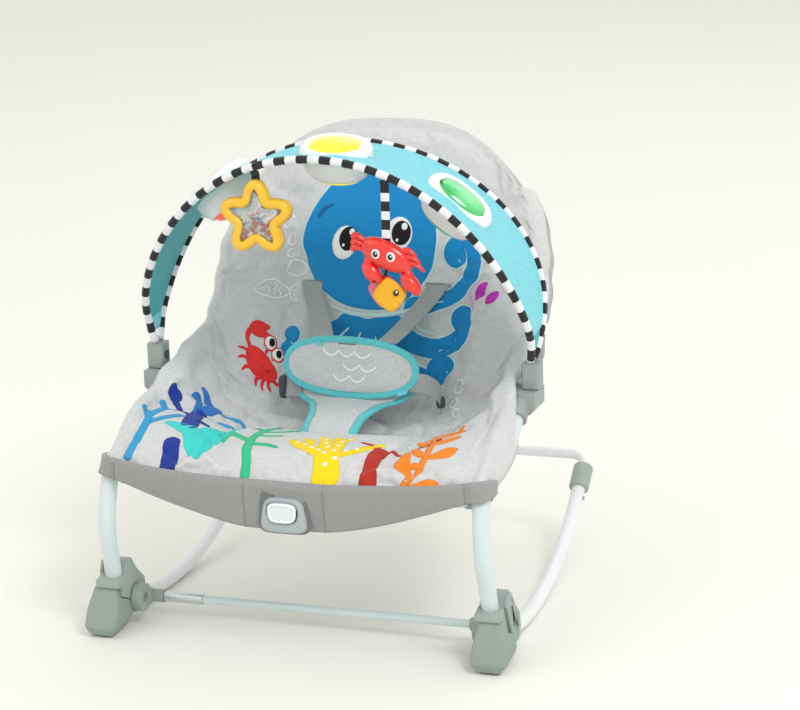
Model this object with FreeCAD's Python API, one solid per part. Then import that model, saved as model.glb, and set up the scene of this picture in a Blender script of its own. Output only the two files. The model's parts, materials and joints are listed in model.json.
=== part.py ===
import FreeCAD, Part
import math
import os

# Baby rocker seat. Millimetres. X runs across the seat, Y from the front feet to the rear bar, Z up.
# Lengthwise places are stations from the front feet; the finished seat is moved to stand centred on
# its origin, which is the point of the floor under the middle of the whole seat.

V = FreeCAD.Vector
across = V(1, 0, 0)

# ---- driving dimensions: base frame ----
foot_half_track = 226.0        # centre of each front foot from the middle
seat_half_width = 215.0        # centre of each seat side tube from the middle
leg_diameter = 19.0
leg_wall = 1.2
rocker_diameter = 16.0
rocker_wall = 1.2
rocker_radius = 400.0          # centreline radius of the rocking tube
rocker_contact = 144.0         # station where the rocking tube meets the floor
rocker_front = 16.0
rocker_arc_end = 375.0         # the tube runs straight from here into the rear sleeve
rocker_tail = 14.0
rear_inset = 8.0               # each rocking tube leans this far inwards by its rear end
rear_bar_gap = 0.45            # radial clearance of the rear bar inside the rocking tube
rear_bar_wall = 1.0
rear_bar_station = 416.0
rear_bar_bend = 18.0
rear_bar_insert = 30.0         # length of rear bar inside the rocking tube
sleeve_wall = 4.0
sleeve_front = 17.0            # reach of the sleeve each way from the rocking tube's mouth
sleeve_rear = 17.0
snap_radius = 2.6
snap_stand = 2.2
snap_setback = 14.0

# ---- front feet ----
housing_inset = 18.0           # inner face from the foot's centre plane
housing_reach = 10.0           # outer face of the housing from the foot's centre plane
cover_thickness = 4.0
foot_width = 38.0
foot_tongue_width = 26.0
foot_toe = -46.0               # station of the toe
foot_top = 54.0                # height of the tongue of the soft foot
housing_top = 80.0
screw_radius = 3.2
screw_clearance = 0.6          # each cover screw's tip from the rocking tube
screw_sink = 1.0               # its head below the cover's face
socket_gap = 0.1               # radial clearance of a tube in its moulded socket
moulding_gap = 0.4             # clearance between neighbouring mouldings

# ---- kickstand ----
crossbar_diameter = 9.5
crossbar_arm = 26.0            # pivot to crossbar centre
crossbar_angle = -14.0         # rest direction of the arm, degrees below the horizontal, rearwards
pivot_station = 15.0
kick_hub_radius = 16.0
kick_hub_width = 10.5
kick_collar_wall = 2.75
kick_collar_length = 13.0
crossbar_insert = 7.0
channel_length = 47.0
channel_wall = 1.4
pivot_pin_radius = 4.0
pivot_pin_head = 6.5
pivot_pin_length = 17.0
kick_pin_recess = 3.2
rivet_radius = 2.4

# ---- seat side and recline hub ----
leg_start = (-5.0, 43.0)       # (station, height) corners of the leg tube
leg_knee = (-29.0, 130.0)
leg_front_bend = (-17.0, 188.0)
leg_seat_bend = (72.0, 206.0)
leg_end = (134.0, 251.6)
leg_bends = (100.0, 20.0, 80.0)
hinge_station = 150.0
hinge_height = 254.0
hub_side_wall = 0.5            # inner face of the hub from the side tube's surface
hub_outer = 20.0
hub_front = 126.0
hub_rear = 166.0
hub_bottom = 240.0
hub_top = 266.0
hub_corner = 7.0
hub_collar_wall = 3.5
hub_collar_length = 22.0
hinge_pin_radius = 4.0
hinge_pin_head = 9.0
hinge_pin_head_height = 3.0
hinge_pin_bite = 7.0           # length of the pin inside the hub
recline_arm_thickness = 8.5
recline_arm_radius = 15.0
recline_arm_tip_radius = 12.0
arm_socket_wall = 3.0
running_gap = 0.3              # side clearance of the recline arm and the kickstand hub
pin_gap = 0.08                 # radial clearance of a pin in its bore

# ---- seat front ----
bow_diameter = 9.5
bow_station = -29.0            # front of the bow, at its middle
bow_height = 178.0
bow_end_inset = 9.0
bow_end_station = -2.0
bracket_length = 14.0
bracket_wall = 2.1

# ---- vibration unit ----
unit_width = 60.0
unit_height = 48.0
unit_front = -46.0
unit_depth = 52.0
unit_centre_height = 165.0
unit_wall = 2.0
unit_corner = 9.0
lid_thickness = 3.0
button_width = 35.0
button_height = 23.0
button_corner = 6.6
button_travel = 2.0
button_stand = 3.0             # cap proud of the case
button_bite = 1.5              # how far the button's cap reaches into the front wall
cell_diameter = 26.2
cell_length = 50.0
motor_radius = 6.0
motor_length = 22.0
weight_radius = 6.5
weight_thickness = 6.0
shaft_radius = 1.2
board_thickness = 1.6

# ---- soft seat ----
seat_clear = 2.5               # air between the side tube and the cushion above it
seat_thickness = 13.0
seat_edge_thickness = 6.0
seat_side_inset = 2.0          # the cushion's side from the side tube's centre plane
seat_pin_gap = 3.0             # the cushion's side inside the recline pins' heads
seat_rear_station = 172.0
seat_front_edge = -38.0
seat_corner_edge = -8.0
skirt_thickness = 3.0
skirt_top = 187.0
skirt_centre_drop = 46.0
skirt_corner_drop = 20.0
seat_profile = ((-38, 189, 10), (-15, 202, 14), (20, 211, 22), (60, 213, 34), (91, 208, 44),
                (130, 197, 62), (172, 190, 74))     # (station, middle height, rise of the sides)

# ---- backrest ----
back_slope = 25.7              # lean of the back from upright, degrees
back_foot_station = 215.4      # middle of the cushion at its lower edge
back_foot_height = 215.0
back_length = 346.0
back_side_margin = 8.5         # cushion beyond the back tube's centreline at each side
back_waist_margin = 6.2        # cushion inside the recline arms
back_waist_end = 96.0          # distance up the back where it widens
back_shoulder = 200.0
back_thickness = 16.0
back_tube_diameter = 16.0
back_tube_inset = 16.0
back_tube_start = 80.0         # distance up the back where the tube leaves its arm
back_tube_bends = (60.0, 75.0)
strap_width = 20.0
strap_thickness = 2.0
strap_offset = 58.0
strap_slot = 200.0             # distance up the back of the strap slots
strap_foot = 52.0

# ---- waist pad and straps ----
pad_half_width = 83.0
pad_half_height = 35.0
pad_thickness = 18.0
pad_station = 177.0
pad_height = 270.0
pad_lean = 14.0
crotch_width_top = 66.0
crotch_width_low = 34.0
crotch_thickness = 5.0
waist_strap_width = 24.0
buckle_size = (26.0, 8.0, 30.0)

# ---- toy bar ----
block_width = 20.0
block_depth = 24.0
block_bottom = 267.0
block_top = 299.0
tab_width = 8.0
tab_depth = 15.0
tab_length = 14.0
tab_gap = 0.3
hoop_diameter = 9.0
hoop_foot_gap = 1.2            # each hoop's foot from the block's middle plane
hoop_foot_rise = 3.0           # where the arch's curve starts above the block
hoop_spread_front = 98.0       # control stations and heights of the two arches
hoop_rise_front = 367.0
hoop_crown_front = 78.0
hoop_spread_rear = 261.0
hoop_rise_rear = 393.0
hoop_crown_rear = 204.0
hoop_crown_height = 528.0
hoop_bulge_front = 20.0        # how far each arch swells sideways past the end blocks
hoop_bulge_rear = 24.0
hoop_shoulder_front = 162.0
hoop_shoulder_rear = 153.0
hoop_steps = 10
band_thickness = 3.0
band_steps = 10
band_gap = 3.6                 # from each hoop's surface
module_half_length = 40.0
module_half_width = 27.0
module_rise = 9.0
module_drop = 11.0
lens_half_length = 29.0
lens_half_width = 19.0
lens_rise = 6.0
module_places = (-0.655, 1.0, 0.635)   # places along the arch; minus is the left side
speaker_radius = 13.0
speaker_thickness = 5.0
release_radius = 5.0
release_travel = 2.5
release_length = 8.0

# ---- hanging toys ----
star_across = -65.0
star_drop = 56.0
star_radius = 38.0
star_valley = 21.0
star_depth = 20.0
star_wall = 11.0
crab_across = 84.0
crab_drop = 89.0
crab_half_width = 26.0
crab_half_height = 17.0
crab_depth = 22.0
claw_radius = 12.0
claw_depth = 16.0
toy_strap_width = 9.0
toy_strap_thickness = 2.0
toy_strap_gap = 1.0            # below the lowest of the hoop over the strap
teether_drop = 30.0
teether_half = 20.0
teether_thickness = 5.0
teether_gap = 3.0


# ---- worked out from the values above ----
leg_r = leg_diameter / 2
rocker_r = rocker_diameter / 2
rear_bar_r = rocker_r - rocker_wall - rear_bar_gap
bow_r = bow_diameter / 2
crossbar_r = crossbar_diameter / 2
hoop_r = hoop_diameter / 2
back_tube_r = back_tube_diameter / 2
screw_head = foot_half_track + housing_reach + cover_thickness - screw_sink
leg_start_x = foot_half_track - 4.0
rocker_x = foot_half_track - 1.0
screw_tip = rocker_x + rocker_r + screw_clearance
housing_inner = foot_half_track - housing_inset
housing_outer = foot_half_track + housing_reach
kick_outer = foot_half_track - foot_width / 2 - running_gap
kick_inner = kick_outer - kick_hub_width
pivot_height = crossbar_arm + crossbar_r
crossbar_station = pivot_station + crossbar_arm * math.cos(math.radians(crossbar_angle))
crossbar_height = pivot_height + crossbar_arm * math.sin(math.radians(crossbar_angle))
rocker_centre_height = rocker_radius + rocker_r
hub_in = seat_half_width - leg_r - hub_side_wall
hub_out = seat_half_width + hub_outer
arm_out = hub_in - running_gap
arm_in = arm_out - recline_arm_thickness
back_tube_side = arm_in - 0.7
seat_rear_half = arm_in - hinge_pin_head_height - seat_pin_gap
back_half_width = back_tube_side + back_side_margin
back_waist_half_width = arm_in - back_waist_margin
unit_bottom = unit_centre_height - unit_height / 2
unit_top = unit_centre_height + unit_height / 2
unit_rear = unit_front + unit_depth
unit_ceiling = bow_height - bow_r - 1.6
block_x = seat_half_width + 11.0
block_station = (hub_front + hub_rear) / 2 + 4.0
foot_rear = rear_bar_station + rear_bar_r
centre_station = (foot_rear + foot_toe) / 2


# ---- helpers ----
def block(x0, x1, y0, y1, z0, z1):
    return Part.makeBox(x1 - x0, y1 - y0, z1 - z0, V(x0, y0, z0))


def rod(start, direction, radius, length):
    return Part.makeCylinder(radius, length, start, direction)


def mirrored(shape):
    return shape.mirror(V(0, 0, 0), across)


def prism_x(outline, x0, x1):
    """Outline of (station, height) pairs, pulled across from x0 to x1."""
    points = [V(x0, y, z) for y, z in outline]
    return Part.Face(Part.makePolygon(points + points[:1])).extrude(V(x1 - x0, 0, 0))


def prism_y(outline, y0, y1):
    """Outline of (across, height) pairs, pulled lengthwise from y0 to y1."""
    points = [V(x, y0, z) for x, z in outline]
    return Part.Face(Part.makePolygon(points + points[:1])).extrude(V(0, y1 - y0, 0))


def routed_wire(points, radii=None):
    """Straight runs joined by tangent arcs; without radii each arc is as large as its runs allow."""
    edges = []
    last = points[0]
    for i in range(1, len(points) - 1):
        corner = points[i]
        back = points[i - 1] - corner
        ahead = points[i + 1] - corner
        half_turn = (math.pi - back.getAngle(ahead)) / 2
        reach = 0.45 * min(back.Length, ahead.Length)
        if radii:
            reach = min(reach, radii[i - 1] * math.tan(half_turn))
        back.normalize()
        ahead.normalize()
        start = corner + back * reach
        end = corner + ahead * reach
        bisector = back + ahead
        bisector.normalize()
        radius = reach / math.tan(half_turn)
        middle = corner + bisector * (radius / math.cos(half_turn) - radius)
        edges.append(Part.LineSegment(last, start).toShape())
        edges.append(Part.Arc(start, middle, end).toShape())
        last = end
    edges.append(Part.LineSegment(last, points[-1]).toShape())
    return Part.Wire(edges)


def swept(wire, radius, start, direction):
    ring = Part.Wire(Part.makeCircle(radius, start, direction))
    return wire.makePipeShell([ring], True, False)


def bent_tube(points, radius, wall, radii=None):
    wire = routed_wire(points, radii)
    direction = points[1] - points[0]
    outer = swept(wire, radius, points[0], direction)
    if not wall:
        return outer
    return outer.cut(swept(wire, radius - wall, points[0], direction))


def rounded_box(x0, x1, y0, y1, z0, z1, radius):
    """Box whose four edges along Y are rounded."""
    solid = block(x0, x1, y0, y1, z0, z1)
    edges = [e for e in solid.Edges if abs(e.tangentAt(e.FirstParameter).y) > 0.9]
    return solid.makeFillet(radius, edges)


def soft_edges(shape, radius):
    return shape.makeFillet(radius, shape.Edges)


def oval(centre, u, v, n, half_u, half_v, low, high):
    """Elliptic plate in the plane of u and v, from low to high along n."""
    curve = Part.Ellipse(V(0, 0, 0), half_u, half_v).toShape()
    plate = Part.Face(Part.Wire(curve)).extrude(V(0, 0, high - low))
    plate.translate(V(0, 0, low))
    place = FreeCAD.Matrix(u.x, v.x, n.x, centre.x, u.y, v.y, n.y, centre.y, u.z, v.z, n.z, centre.z)
    return plate.transformed(place, copy=True)


def group(solids):
    return Part.makeCompound(solids)


def bezier(poles, t):
    s = 1 - t
    return (poles[0] * (s ** 3) + poles[1] * (3 * s * s * t)
            + poles[2] * (3 * s * t * t) + poles[3] * (t ** 3))


def blend_value(a, b, t):
    return a + (b - a) * t


# ---- rocking tube geometry ----
def rocker_height(station):
    return rocker_centre_height - math.sqrt(rocker_radius ** 2 - (station - rocker_contact) ** 2)


def rocker_across(station):
    return rocker_x - rear_inset * (station - rocker_front) / (rear_bar_station - rocker_front)


def rocker_point(station):
    return V(rocker_across(station), station, rocker_height(station))


def rocker_end_direction():
    rise = (rocker_arc_end - rocker_contact) / (rocker_centre_height - rocker_height(rocker_arc_end))
    lean = -rear_inset / (rear_bar_station - rocker_front)
    direction = V(lean, 1, rise)
    direction.normalize()
    return direction


def rocker_wire():
    start = rocker_point(rocker_front)
    middle = rocker_point((rocker_front + rocker_arc_end) / 2)
    end = rocker_point(rocker_arc_end)
    arc = Part.Arc(start, middle, end)
    tail = Part.LineSegment(end, end + rocker_end_direction() * rocker_tail)
    return Part.Wire([arc.toShape(), tail.toShape()])


def rocker_rod(radius):
    wire = rocker_wire()
    first = wire.Edges[0]
    return swept(wire, radius, first.valueAt(first.FirstParameter), first.tangentAt(first.FirstParameter))


def rocker_tube():
    return rocker_rod(rocker_r).cut(rocker_rod(rocker_r - rocker_wall))


def rocker_mouth():
    return rocker_point(rocker_arc_end) + rocker_end_direction() * rocker_tail


def rear_bar():
    along = rocker_end_direction()
    mouth = rocker_mouth()
    corner = mouth + along * ((rear_bar_station - mouth.y) / along.y)
    start = mouth - along * rear_bar_insert
    points = [start, corner, V(-corner.x, corner.y, corner.z), V(-start.x, start.y, start.z)]
    return bent_tube(points, rear_bar_r, rear_bar_wall, (rear_bar_bend, rear_bar_bend))


def rear_sleeve():
    along = rocker_end_direction()
    mouth = rocker_mouth()
    start = mouth - along * sleeve_front
    body = rod(start, along, rocker_r + sleeve_wall, sleeve_front + sleeve_rear)
    body = soft_edges(body, sleeve_wall * 0.6)
    tube_bore = rod(start - along * 1.0, along, rocker_r + socket_gap, sleeve_front + 1.0)
    bar_bore = rod(mouth, along, rear_bar_r + socket_gap, sleeve_rear + 1.0)
    return body.cut(tube_bore).cut(bar_bore)


def snap_button():
    station = rocker_arc_end - snap_setback
    base = rocker_point(station)
    return rod(base + across * (rocker_r + 0.05), across, snap_radius, snap_stand)


# ---- leg tube ----
def leg_points():
    return [V(leg_start_x, *leg_start), V((leg_start_x + seat_half_width) / 2, *leg_knee),
            V(seat_half_width, *leg_front_bend), V(seat_half_width, *leg_seat_bend),
            V(seat_half_width, *leg_end)]


def leg_tube():
    return bent_tube(leg_points(), leg_r, leg_wall, leg_bends)


def leg_first_run():
    points = leg_points()
    direction = points[1] - points[0]
    direction.normalize()
    return points[0], direction


def leg_last_run():
    points = leg_points()
    direction = points[-1] - points[-2]
    direction.normalize()
    return points[-1], direction


def side_tube_height(station):
    """Height of the side tube's centreline where it runs under the seat."""
    (y1, z1), (y2, z2), (y3, z3) = leg_front_bend, leg_seat_bend, leg_end
    if station < y2:
        return z1 + (z2 - z1) * (station - y1) / (y2 - y1)
    return z2 + (z3 - z2) * (station - y2) / (y3 - y2)


# ---- front foot ----
def foot_housing():
    outline = ((-28, foot_top + moulding_gap), (-28, 62), (-8, 66), (-2, housing_top), (8, housing_top),
               (20, 64), (40, 46), (43, 28), (34, 13), (14, 12), (8.6, 16.6), (-1.8, 34.6),
               (-18.2, 41.6), (-19, foot_top + moulding_gap))
    body = prism_x(outline, housing_inner, housing_outer)
    start, direction = leg_first_run()
    body = body.cut(rod(start, direction, leg_r + socket_gap, housing_top))
    body = body.cut(rocker_rod(rocker_r + socket_gap))
    pin_bore = rod(V(housing_inner - 1, pivot_station, pivot_height), across,
                   pivot_pin_radius + pin_gap, pivot_pin_length - kick_hub_width + 3.0)
    body = body.cut(pin_bore)
    tip = screw_tip - screw_sink
    for station, height in cover_screws():
        body = body.cut(rod(V(tip, station, height), across, screw_radius + pin_gap, foot_half_track))
    return body


def cover_screws():
    return ((8.0, 66.0), (30.0, 30.0))


def foot_cover():
    outline = ((-10, 66), (-4, housing_top - 2), (7, housing_top - 2), (19, 62), (38, 44), (41, 28),
               (33, 15), (15, 14))
    plate = prism_x(outline, housing_outer, housing_outer + cover_thickness)
    rim = [e for e in plate.Edges if e.BoundBox.XMin > housing_outer + cover_thickness - 0.01]
    plate = plate.makeFillet(1.5, rim)
    for station, height in cover_screws():
        plate = plate.cut(rod(V(housing_outer - 1, station, height), across, screw_radius + pin_gap, 8.0))
    return plate


def soft_foot():
    side = ((-25, foot_top), (foot_toe, 12), (foot_toe + 3, 3), (foot_toe + 12, 0), (-20, 0), (8, 16),
            (-2, 34), (-18.6, 41.2), (-19.4, foot_top))
    half = foot_width / 2
    tongue = foot_tongue_width / 2
    front = ((-tongue, foot_top + 2), (tongue, foot_top + 2), (half, 30), (half, 12), (half - 8, -1),
             (8 - half, -1), (-half, 12), (-half, 30))
    wedge = prism_x(side, foot_half_track - half, foot_half_track + half)
    outline = [(foot_half_track + x, z) for x, z in front]
    body = wedge.common(prism_y(outline, foot_toe - 5, 20))
    start, direction = leg_first_run()
    return body.cut(rod(start - direction * moulding_gap, direction, leg_r + socket_gap, housing_top))


def foot_screw_group():
    screws = []
    for station, height in cover_screws():
        screw = rod(V(screw_tip, station, height), across, screw_radius, screw_head - screw_tip)
        screws += [screw, mirrored(screw)]
    return group(screws)


# ---- kickstand ----
def kick_hub():
    inner = kick_inner
    disc = rod(V(inner, pivot_station, pivot_height), across, kick_hub_radius, kick_hub_width)
    lobe_r = crossbar_r + kick_collar_wall
    lobe = rod(V(inner, crossbar_station, crossbar_height), across, lobe_r, kick_hub_width)
    collar = rod(V(inner - kick_collar_length, crossbar_station, crossbar_height), across,
                 lobe_r, kick_collar_length + 1.0)
    arm = V(0, crossbar_station - pivot_station, crossbar_height - pivot_height)
    side = V(0, -arm.z, arm.y)
    side.normalize()
    pivot = V(inner, pivot_station, pivot_height)
    corners = [pivot + side * 13.0, pivot - side * 13.0, pivot + arm - side * 7.0, pivot + arm + side * 7.0]
    web = Part.Face(Part.makePolygon(corners + corners[:1])).extrude(V(kick_hub_width, 0, 0))
    hub = disc.fuse([lobe, collar, web]).removeSplitter()
    hub = hub.cut(rod(V(inner - 1, pivot_station, pivot_height), across,
                      pivot_pin_radius + pin_gap, kick_hub_width + 2))
    hub = hub.cut(rod(V(inner - 1, pivot_station, pivot_height), across,
                      pivot_pin_head + pin_gap, kick_pin_recess + 1))
    return hub.cut(rod(V(inner - kick_collar_length - 1, crossbar_station, crossbar_height), across,
                       crossbar_r + socket_gap, crossbar_insert + 1))


def collar_end():
    return kick_inner - kick_collar_length


def crossbar():
    half = collar_end() + crossbar_insert
    return rod(V(-half, crossbar_station, crossbar_height), across, crossbar_r, 2 * half)


def crossbar_channel():
    start = V(-collar_end() + 0.5, crossbar_station, crossbar_height)
    shell = rod(start, across, crossbar_r + channel_wall, channel_length)
    shell = shell.cut(rod(start - across, across, crossbar_r + 0.05, channel_length + 2))
    slot = block(start.x - 1, start.x + channel_length + 1, start.y, start.y + 20,
                 start.z - 3.0, start.z + 3.0)
    return shell.cut(slot)


def channel_rivet():
    front = V(-collar_end() + 12.0, crossbar_station - crossbar_r - channel_wall - 0.1, crossbar_height)
    return rod(front, V(0, -1, 0), rivet_radius, 1.2)


def kick_pin():
    inner = kick_inner
    shank = rod(V(inner + 0.5, pivot_station, pivot_height), across, pivot_pin_radius, pivot_pin_length)
    head = rod(V(inner + 0.5, pivot_station, pivot_height), across, pivot_pin_head, 2.4)
    return shank.fuse(head).removeSplitter()


# ---- recline hub and arms ----
def hub_block():
    outline = ((hub_front + 3, hub_bottom), (hub_rear - 3, hub_bottom), (hub_rear, hub_bottom + 4),
               (hub_rear, hub_top), (hub_front, hub_top), (hub_front, hub_bottom + 3))
    body = prism_x(outline, hub_in, hub_out)
    chamfer = [e for e in body.Edges
               if e.BoundBox.XMin > hub_out - 0.01 and e.BoundBox.ZMax < hub_bottom + 0.01]
    body = body.makeChamfer(hub_corner, chamfer)
    end, direction = leg_last_run()
    body = body.fuse(rod(end - direction * hub_collar_length, direction, leg_r + hub_collar_wall,
                         hub_collar_length))
    body = body.common(block(hub_in, hub_out, 0, rear_bar_station, 0, hub_top))
    body = body.cut(rod(end - direction * 60, direction, leg_r + socket_gap, 60))
    body = body.cut(rod(V(hub_in - 1, hinge_station, hinge_height), across,
                        hinge_pin_radius + pin_gap, hinge_pin_bite + 1.5))
    return body.cut(tab_solid(tab_gap))


def tab_solid(gap):
    low = block_bottom - tab_length - gap
    return block(block_x + 1 - tab_width / 2 - gap, block_x + 1 + tab_width / 2 + gap,
                 block_station - tab_depth / 2 - gap, block_station + tab_depth / 2 + gap,
                 low, block_bottom + 1)


def hinge_pin():
    start = arm_in - 0.3
    head = rod(V(start - hinge_pin_head_height, hinge_station, hinge_height), across,
               hinge_pin_head, hinge_pin_head_height)
    shank = rod(V(start - 1, hinge_station, hinge_height), across, hinge_pin_radius,
                hub_in + hinge_pin_bite - start + 1)
    return head.fuse(shank).removeSplitter()


def up_the_back(distance, behind=0.0, x=0.0):
    """Point on the back's middle plane, a distance up the slope and behind it."""
    lean = math.radians(back_slope)
    y = back_foot_station + distance * math.sin(lean) + behind * math.cos(lean)
    z = back_foot_height + distance * math.cos(lean) - behind * math.sin(lean)
    return V(x, y, z)


def tube_setback():
    return back_thickness / 2 + back_tube_r + arm_socket_wall + moulding_gap


def recline_arm():
    hinge = V(arm_in, hinge_station, hinge_height)
    tip = up_the_back(back_tube_start, tube_setback(), arm_in)
    reach = tip - hinge
    side = V(0, -reach.z, reach.y)
    side.normalize()
    corners = [hinge + side * recline_arm_radius, hinge - side * recline_arm_radius,
               tip - side * recline_arm_tip_radius, tip + side * recline_arm_tip_radius]
    web = Part.Face(Part.makePolygon(corners + corners[:1])).extrude(V(recline_arm_thickness, 0, 0))
    ends = [rod(hinge, across, recline_arm_radius, recline_arm_thickness),
            rod(tip, across, recline_arm_tip_radius, recline_arm_thickness)]
    upward = up_the_back(1) - up_the_back(0)
    centre = up_the_back(back_tube_start, tube_setback(), back_tube_side)
    socket = rod(centre - upward * 8.0, upward, back_tube_r + arm_socket_wall, 26.0)
    arm = web.fuse(ends + [socket]).removeSplitter()
    arm = arm.cut(rod(centre, upward, back_tube_r + socket_gap, 40.0))
    return arm.cut(rod(hinge - across, across, hinge_pin_radius + pin_gap, recline_arm_thickness + 2))


def back_tube():
    side = back_tube_side
    behind = tube_setback()
    top = back_length - back_tube_inset
    shoulder = side * 0.62
    right = [up_the_back(back_tube_start, behind, side), up_the_back(back_shoulder, behind, side),
             up_the_back(top, behind, shoulder)]
    left = [V(-p.x, p.y, p.z) for p in reversed(right)]
    radii = (back_tube_bends[0], back_tube_bends[1], back_tube_bends[1], back_tube_bends[0])
    return bent_tube(right + left, back_tube_r, 1.2, radii)


def back_cushion():
    """Flat plate with a narrow waist and an arched top, leaning on the back tube."""
    waist = back_waist_half_width
    wide = back_half_width
    shoulder = back_shoulder
    top = back_length
    right_arc = Part.Arc(V(wide, shoulder, 0), V(wide * 0.78, (shoulder + top) / 2 + 22, 0),
                         V(wide * 0.44, top - 16, 0))
    crown = Part.Arc(V(wide * 0.44, top - 16, 0), V(0, top, 0), V(-wide * 0.44, top - 16, 0))
    left_arc = Part.Arc(V(-wide * 0.44, top - 16, 0), V(-wide * 0.78, (shoulder + top) / 2 + 22, 0),
                        V(-wide, shoulder, 0))
    corners = [V(-wide, shoulder, 0), V(-wide, back_waist_end + 14, 0), V(-waist, back_waist_end, 0),
               V(-waist, 0, 0), V(waist, 0, 0), V(waist, back_waist_end, 0),
               V(wide, back_waist_end + 14, 0), V(wide, shoulder, 0)]
    edges = [right_arc.toShape(), crown.toShape(), left_arc.toShape()]
    edges += [Part.LineSegment(a, b).toShape() for a, b in zip(corners, corners[1:])]
    plate = Part.Face(Part.Wire(Part.sortEdges(edges)[0])).extrude(V(0, 0, back_thickness))
    plate.translate(V(0, 0, -back_thickness / 2))
    plate.rotate(V(0, 0, 0), across, 90 - back_slope)
    plate.translate(V(0, back_foot_station, back_foot_height))
    return plate


def back_slab(x0, x1, low, high, near, far):
    """Plate between two distances up the back and two depths behind its middle plane."""
    corners = [up_the_back(low, near), up_the_back(high, near), up_the_back(high, far),
               up_the_back(low, far)]
    outline = [(p.y, p.z) for p in corners]
    return prism_x(outline, x0, x1)


def shoulder_strap(x):
    near = -back_thickness / 2 - 0.4 - strap_thickness
    far = -back_thickness / 2 - 0.4
    return back_slab(x - strap_width / 2, x + strap_width / 2, strap_foot, strap_slot, near, far)


# ---- seat front ----
def bow_end():
    return V(seat_half_width - bow_end_inset, bow_end_station, bow_height)


def bow_rod(radius):
    end = bow_end()
    wire = Part.Wire(Part.Arc(V(-end.x, end.y, end.z), V(0, bow_station, bow_height), end).toShape())
    first = wire.Edges[0]
    return swept(wire, radius, first.valueAt(first.FirstParameter), first.tangentAt(first.FirstParameter))


def seat_bow():
    solid = bow_rod(bow_r)
    for side_tube in leg_rods(leg_r + socket_gap):
        solid = solid.cut(side_tube)
    return solid


def leg_rods(radius):
    points = leg_points()
    solid = swept(routed_wire(points, leg_bends), radius, points[0], points[1] - points[0])
    return [solid, mirrored(solid)]


def bow_bracket():
    """Moulded clamp that ties the bow's end to the side tube."""
    points = leg_points()
    corner = points[2]
    toward = points[3] - corner
    toward.normalize()
    start = corner + toward * 8.0
    clamp = rod(start, toward, leg_r + bracket_wall, bracket_length)
    reach = bow_end()
    lug = rod(V(reach.x - 12, reach.y, reach.z), across, bow_r + 2.5, 14.0)
    clamp = clamp.fuse(lug).removeSplitter()
    wire = routed_wire(points, leg_bends)
    clamp = clamp.cut(swept(wire, leg_r + socket_gap, points[0], points[1] - points[0]))
    return clamp.cut(bow_rod(bow_r + socket_gap))


# ---- vibration unit ----
def unit_shell():
    half = unit_width / 2
    front = rounded_box(-half, half, unit_front, unit_rear - lid_thickness - moulding_gap,
                        unit_bottom, unit_top, unit_corner)
    inner = rounded_box(-half + unit_wall, half - unit_wall, unit_front + unit_wall, unit_rear,
                        unit_bottom + unit_wall, unit_ceiling, unit_corner - 4)
    body = front.cut(inner)
    body = body.cut(bow_rod(bow_r + socket_gap))
    window = rounded_box(-button_width / 2 - moulding_gap, button_width / 2 + moulding_gap,
                         unit_front - 1, unit_front + button_bite + button_travel + moulding_gap,
                         unit_centre_height - button_height / 2 - moulding_gap,
                         unit_centre_height + button_height / 2 + moulding_gap,
                         button_corner + moulding_gap)
    return body.cut(window)


def unit_lid():
    half = unit_width / 2
    plate = rounded_box(-half, half, unit_rear - lid_thickness, unit_rear, unit_bottom, unit_top,
                        unit_corner)
    for x, z in lid_screws():
        plate = plate.cut(rod(V(x, unit_rear + 1, z), V(0, -1, 0), screw_radius, 10))
    return plate


def lid_screws():
    inset = 7.0
    return ((unit_width / 2 - inset, unit_top - inset), (inset - unit_width / 2, unit_top - inset))


def lid_screw_group():
    screws = []
    for x, z in lid_screws():
        screws.append(rod(V(x, unit_rear - 0.5, z), V(0, -1, 0), screw_radius - 0.1, 2.2))
    return group(screws)


def unit_button():
    return rounded_box(-button_width / 2, button_width / 2, unit_front - button_stand,
                       unit_front + button_bite, unit_centre_height - button_height / 2,
                       unit_centre_height + button_height / 2, button_corner)


def board_face():
    return unit_front + unit_wall + button_travel + 1.2


def circuit_board():
    half = unit_width / 2 - unit_wall - 3
    return block(-half, half, board_face(), board_face() + board_thickness,
                 unit_bottom + unit_wall + 3, unit_ceiling - 1.5)


def cell_centre():
    y = board_face() + board_thickness + cell_diameter / 2 + moulding_gap
    return V(0, y, unit_bottom + unit_wall + cell_diameter / 2 + moulding_gap)


def battery_cell():
    centre = cell_centre()
    can = rod(V(-cell_length / 2, centre.y, centre.z), across, cell_diameter / 2, cell_length - 2)
    nub = rod(V(cell_length / 2 - 2.0, centre.y, centre.z), across, 3.6, 1.6)
    return can.fuse(nub).removeSplitter()


# ---- soft seat ----
def seat_section(station, middle, rise):
    """Closed section of the padded sling at one station: raised sides, flat middle."""
    blend = min(1.0, max(0.0, (station - 96.0) / 30.0))
    half = blend_value(seat_half_width - seat_side_inset, seat_rear_half, blend)
    thick = blend_value(seat_edge_thickness, seat_thickness, min(1.0, max(0.0, (station + 38) / 40.0)))
    over_tube = min(max(station, leg_front_bend[0]), leg_end[0])
    floor_side = side_tube_height(over_tube) + leg_r + seat_clear - 60.0 * blend
    crest = max(middle + rise, floor_side + 9.0)
    top = []
    low = []
    for share in (-1.0, -0.93, -0.8, -0.6, -0.3, 0.3, 0.6, 0.8, 0.93, 1.0):
        lift = abs(share) ** 4
        z = middle + (crest - middle) * lift
        top.append(V(share * half, station, z))
        under = z - thick
        if abs(share) > 0.9:
            under = max(under, floor_side)
        low.append(V(share * half, station, under))
    return Part.makePolygon(top + low[::-1] + top[:1])


def unit_envelope():
    gap = moulding_gap
    half = unit_width / 2 + gap
    return block(-half, half, unit_front - gap, unit_rear + gap, unit_bottom - gap, unit_top + gap)


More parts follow.
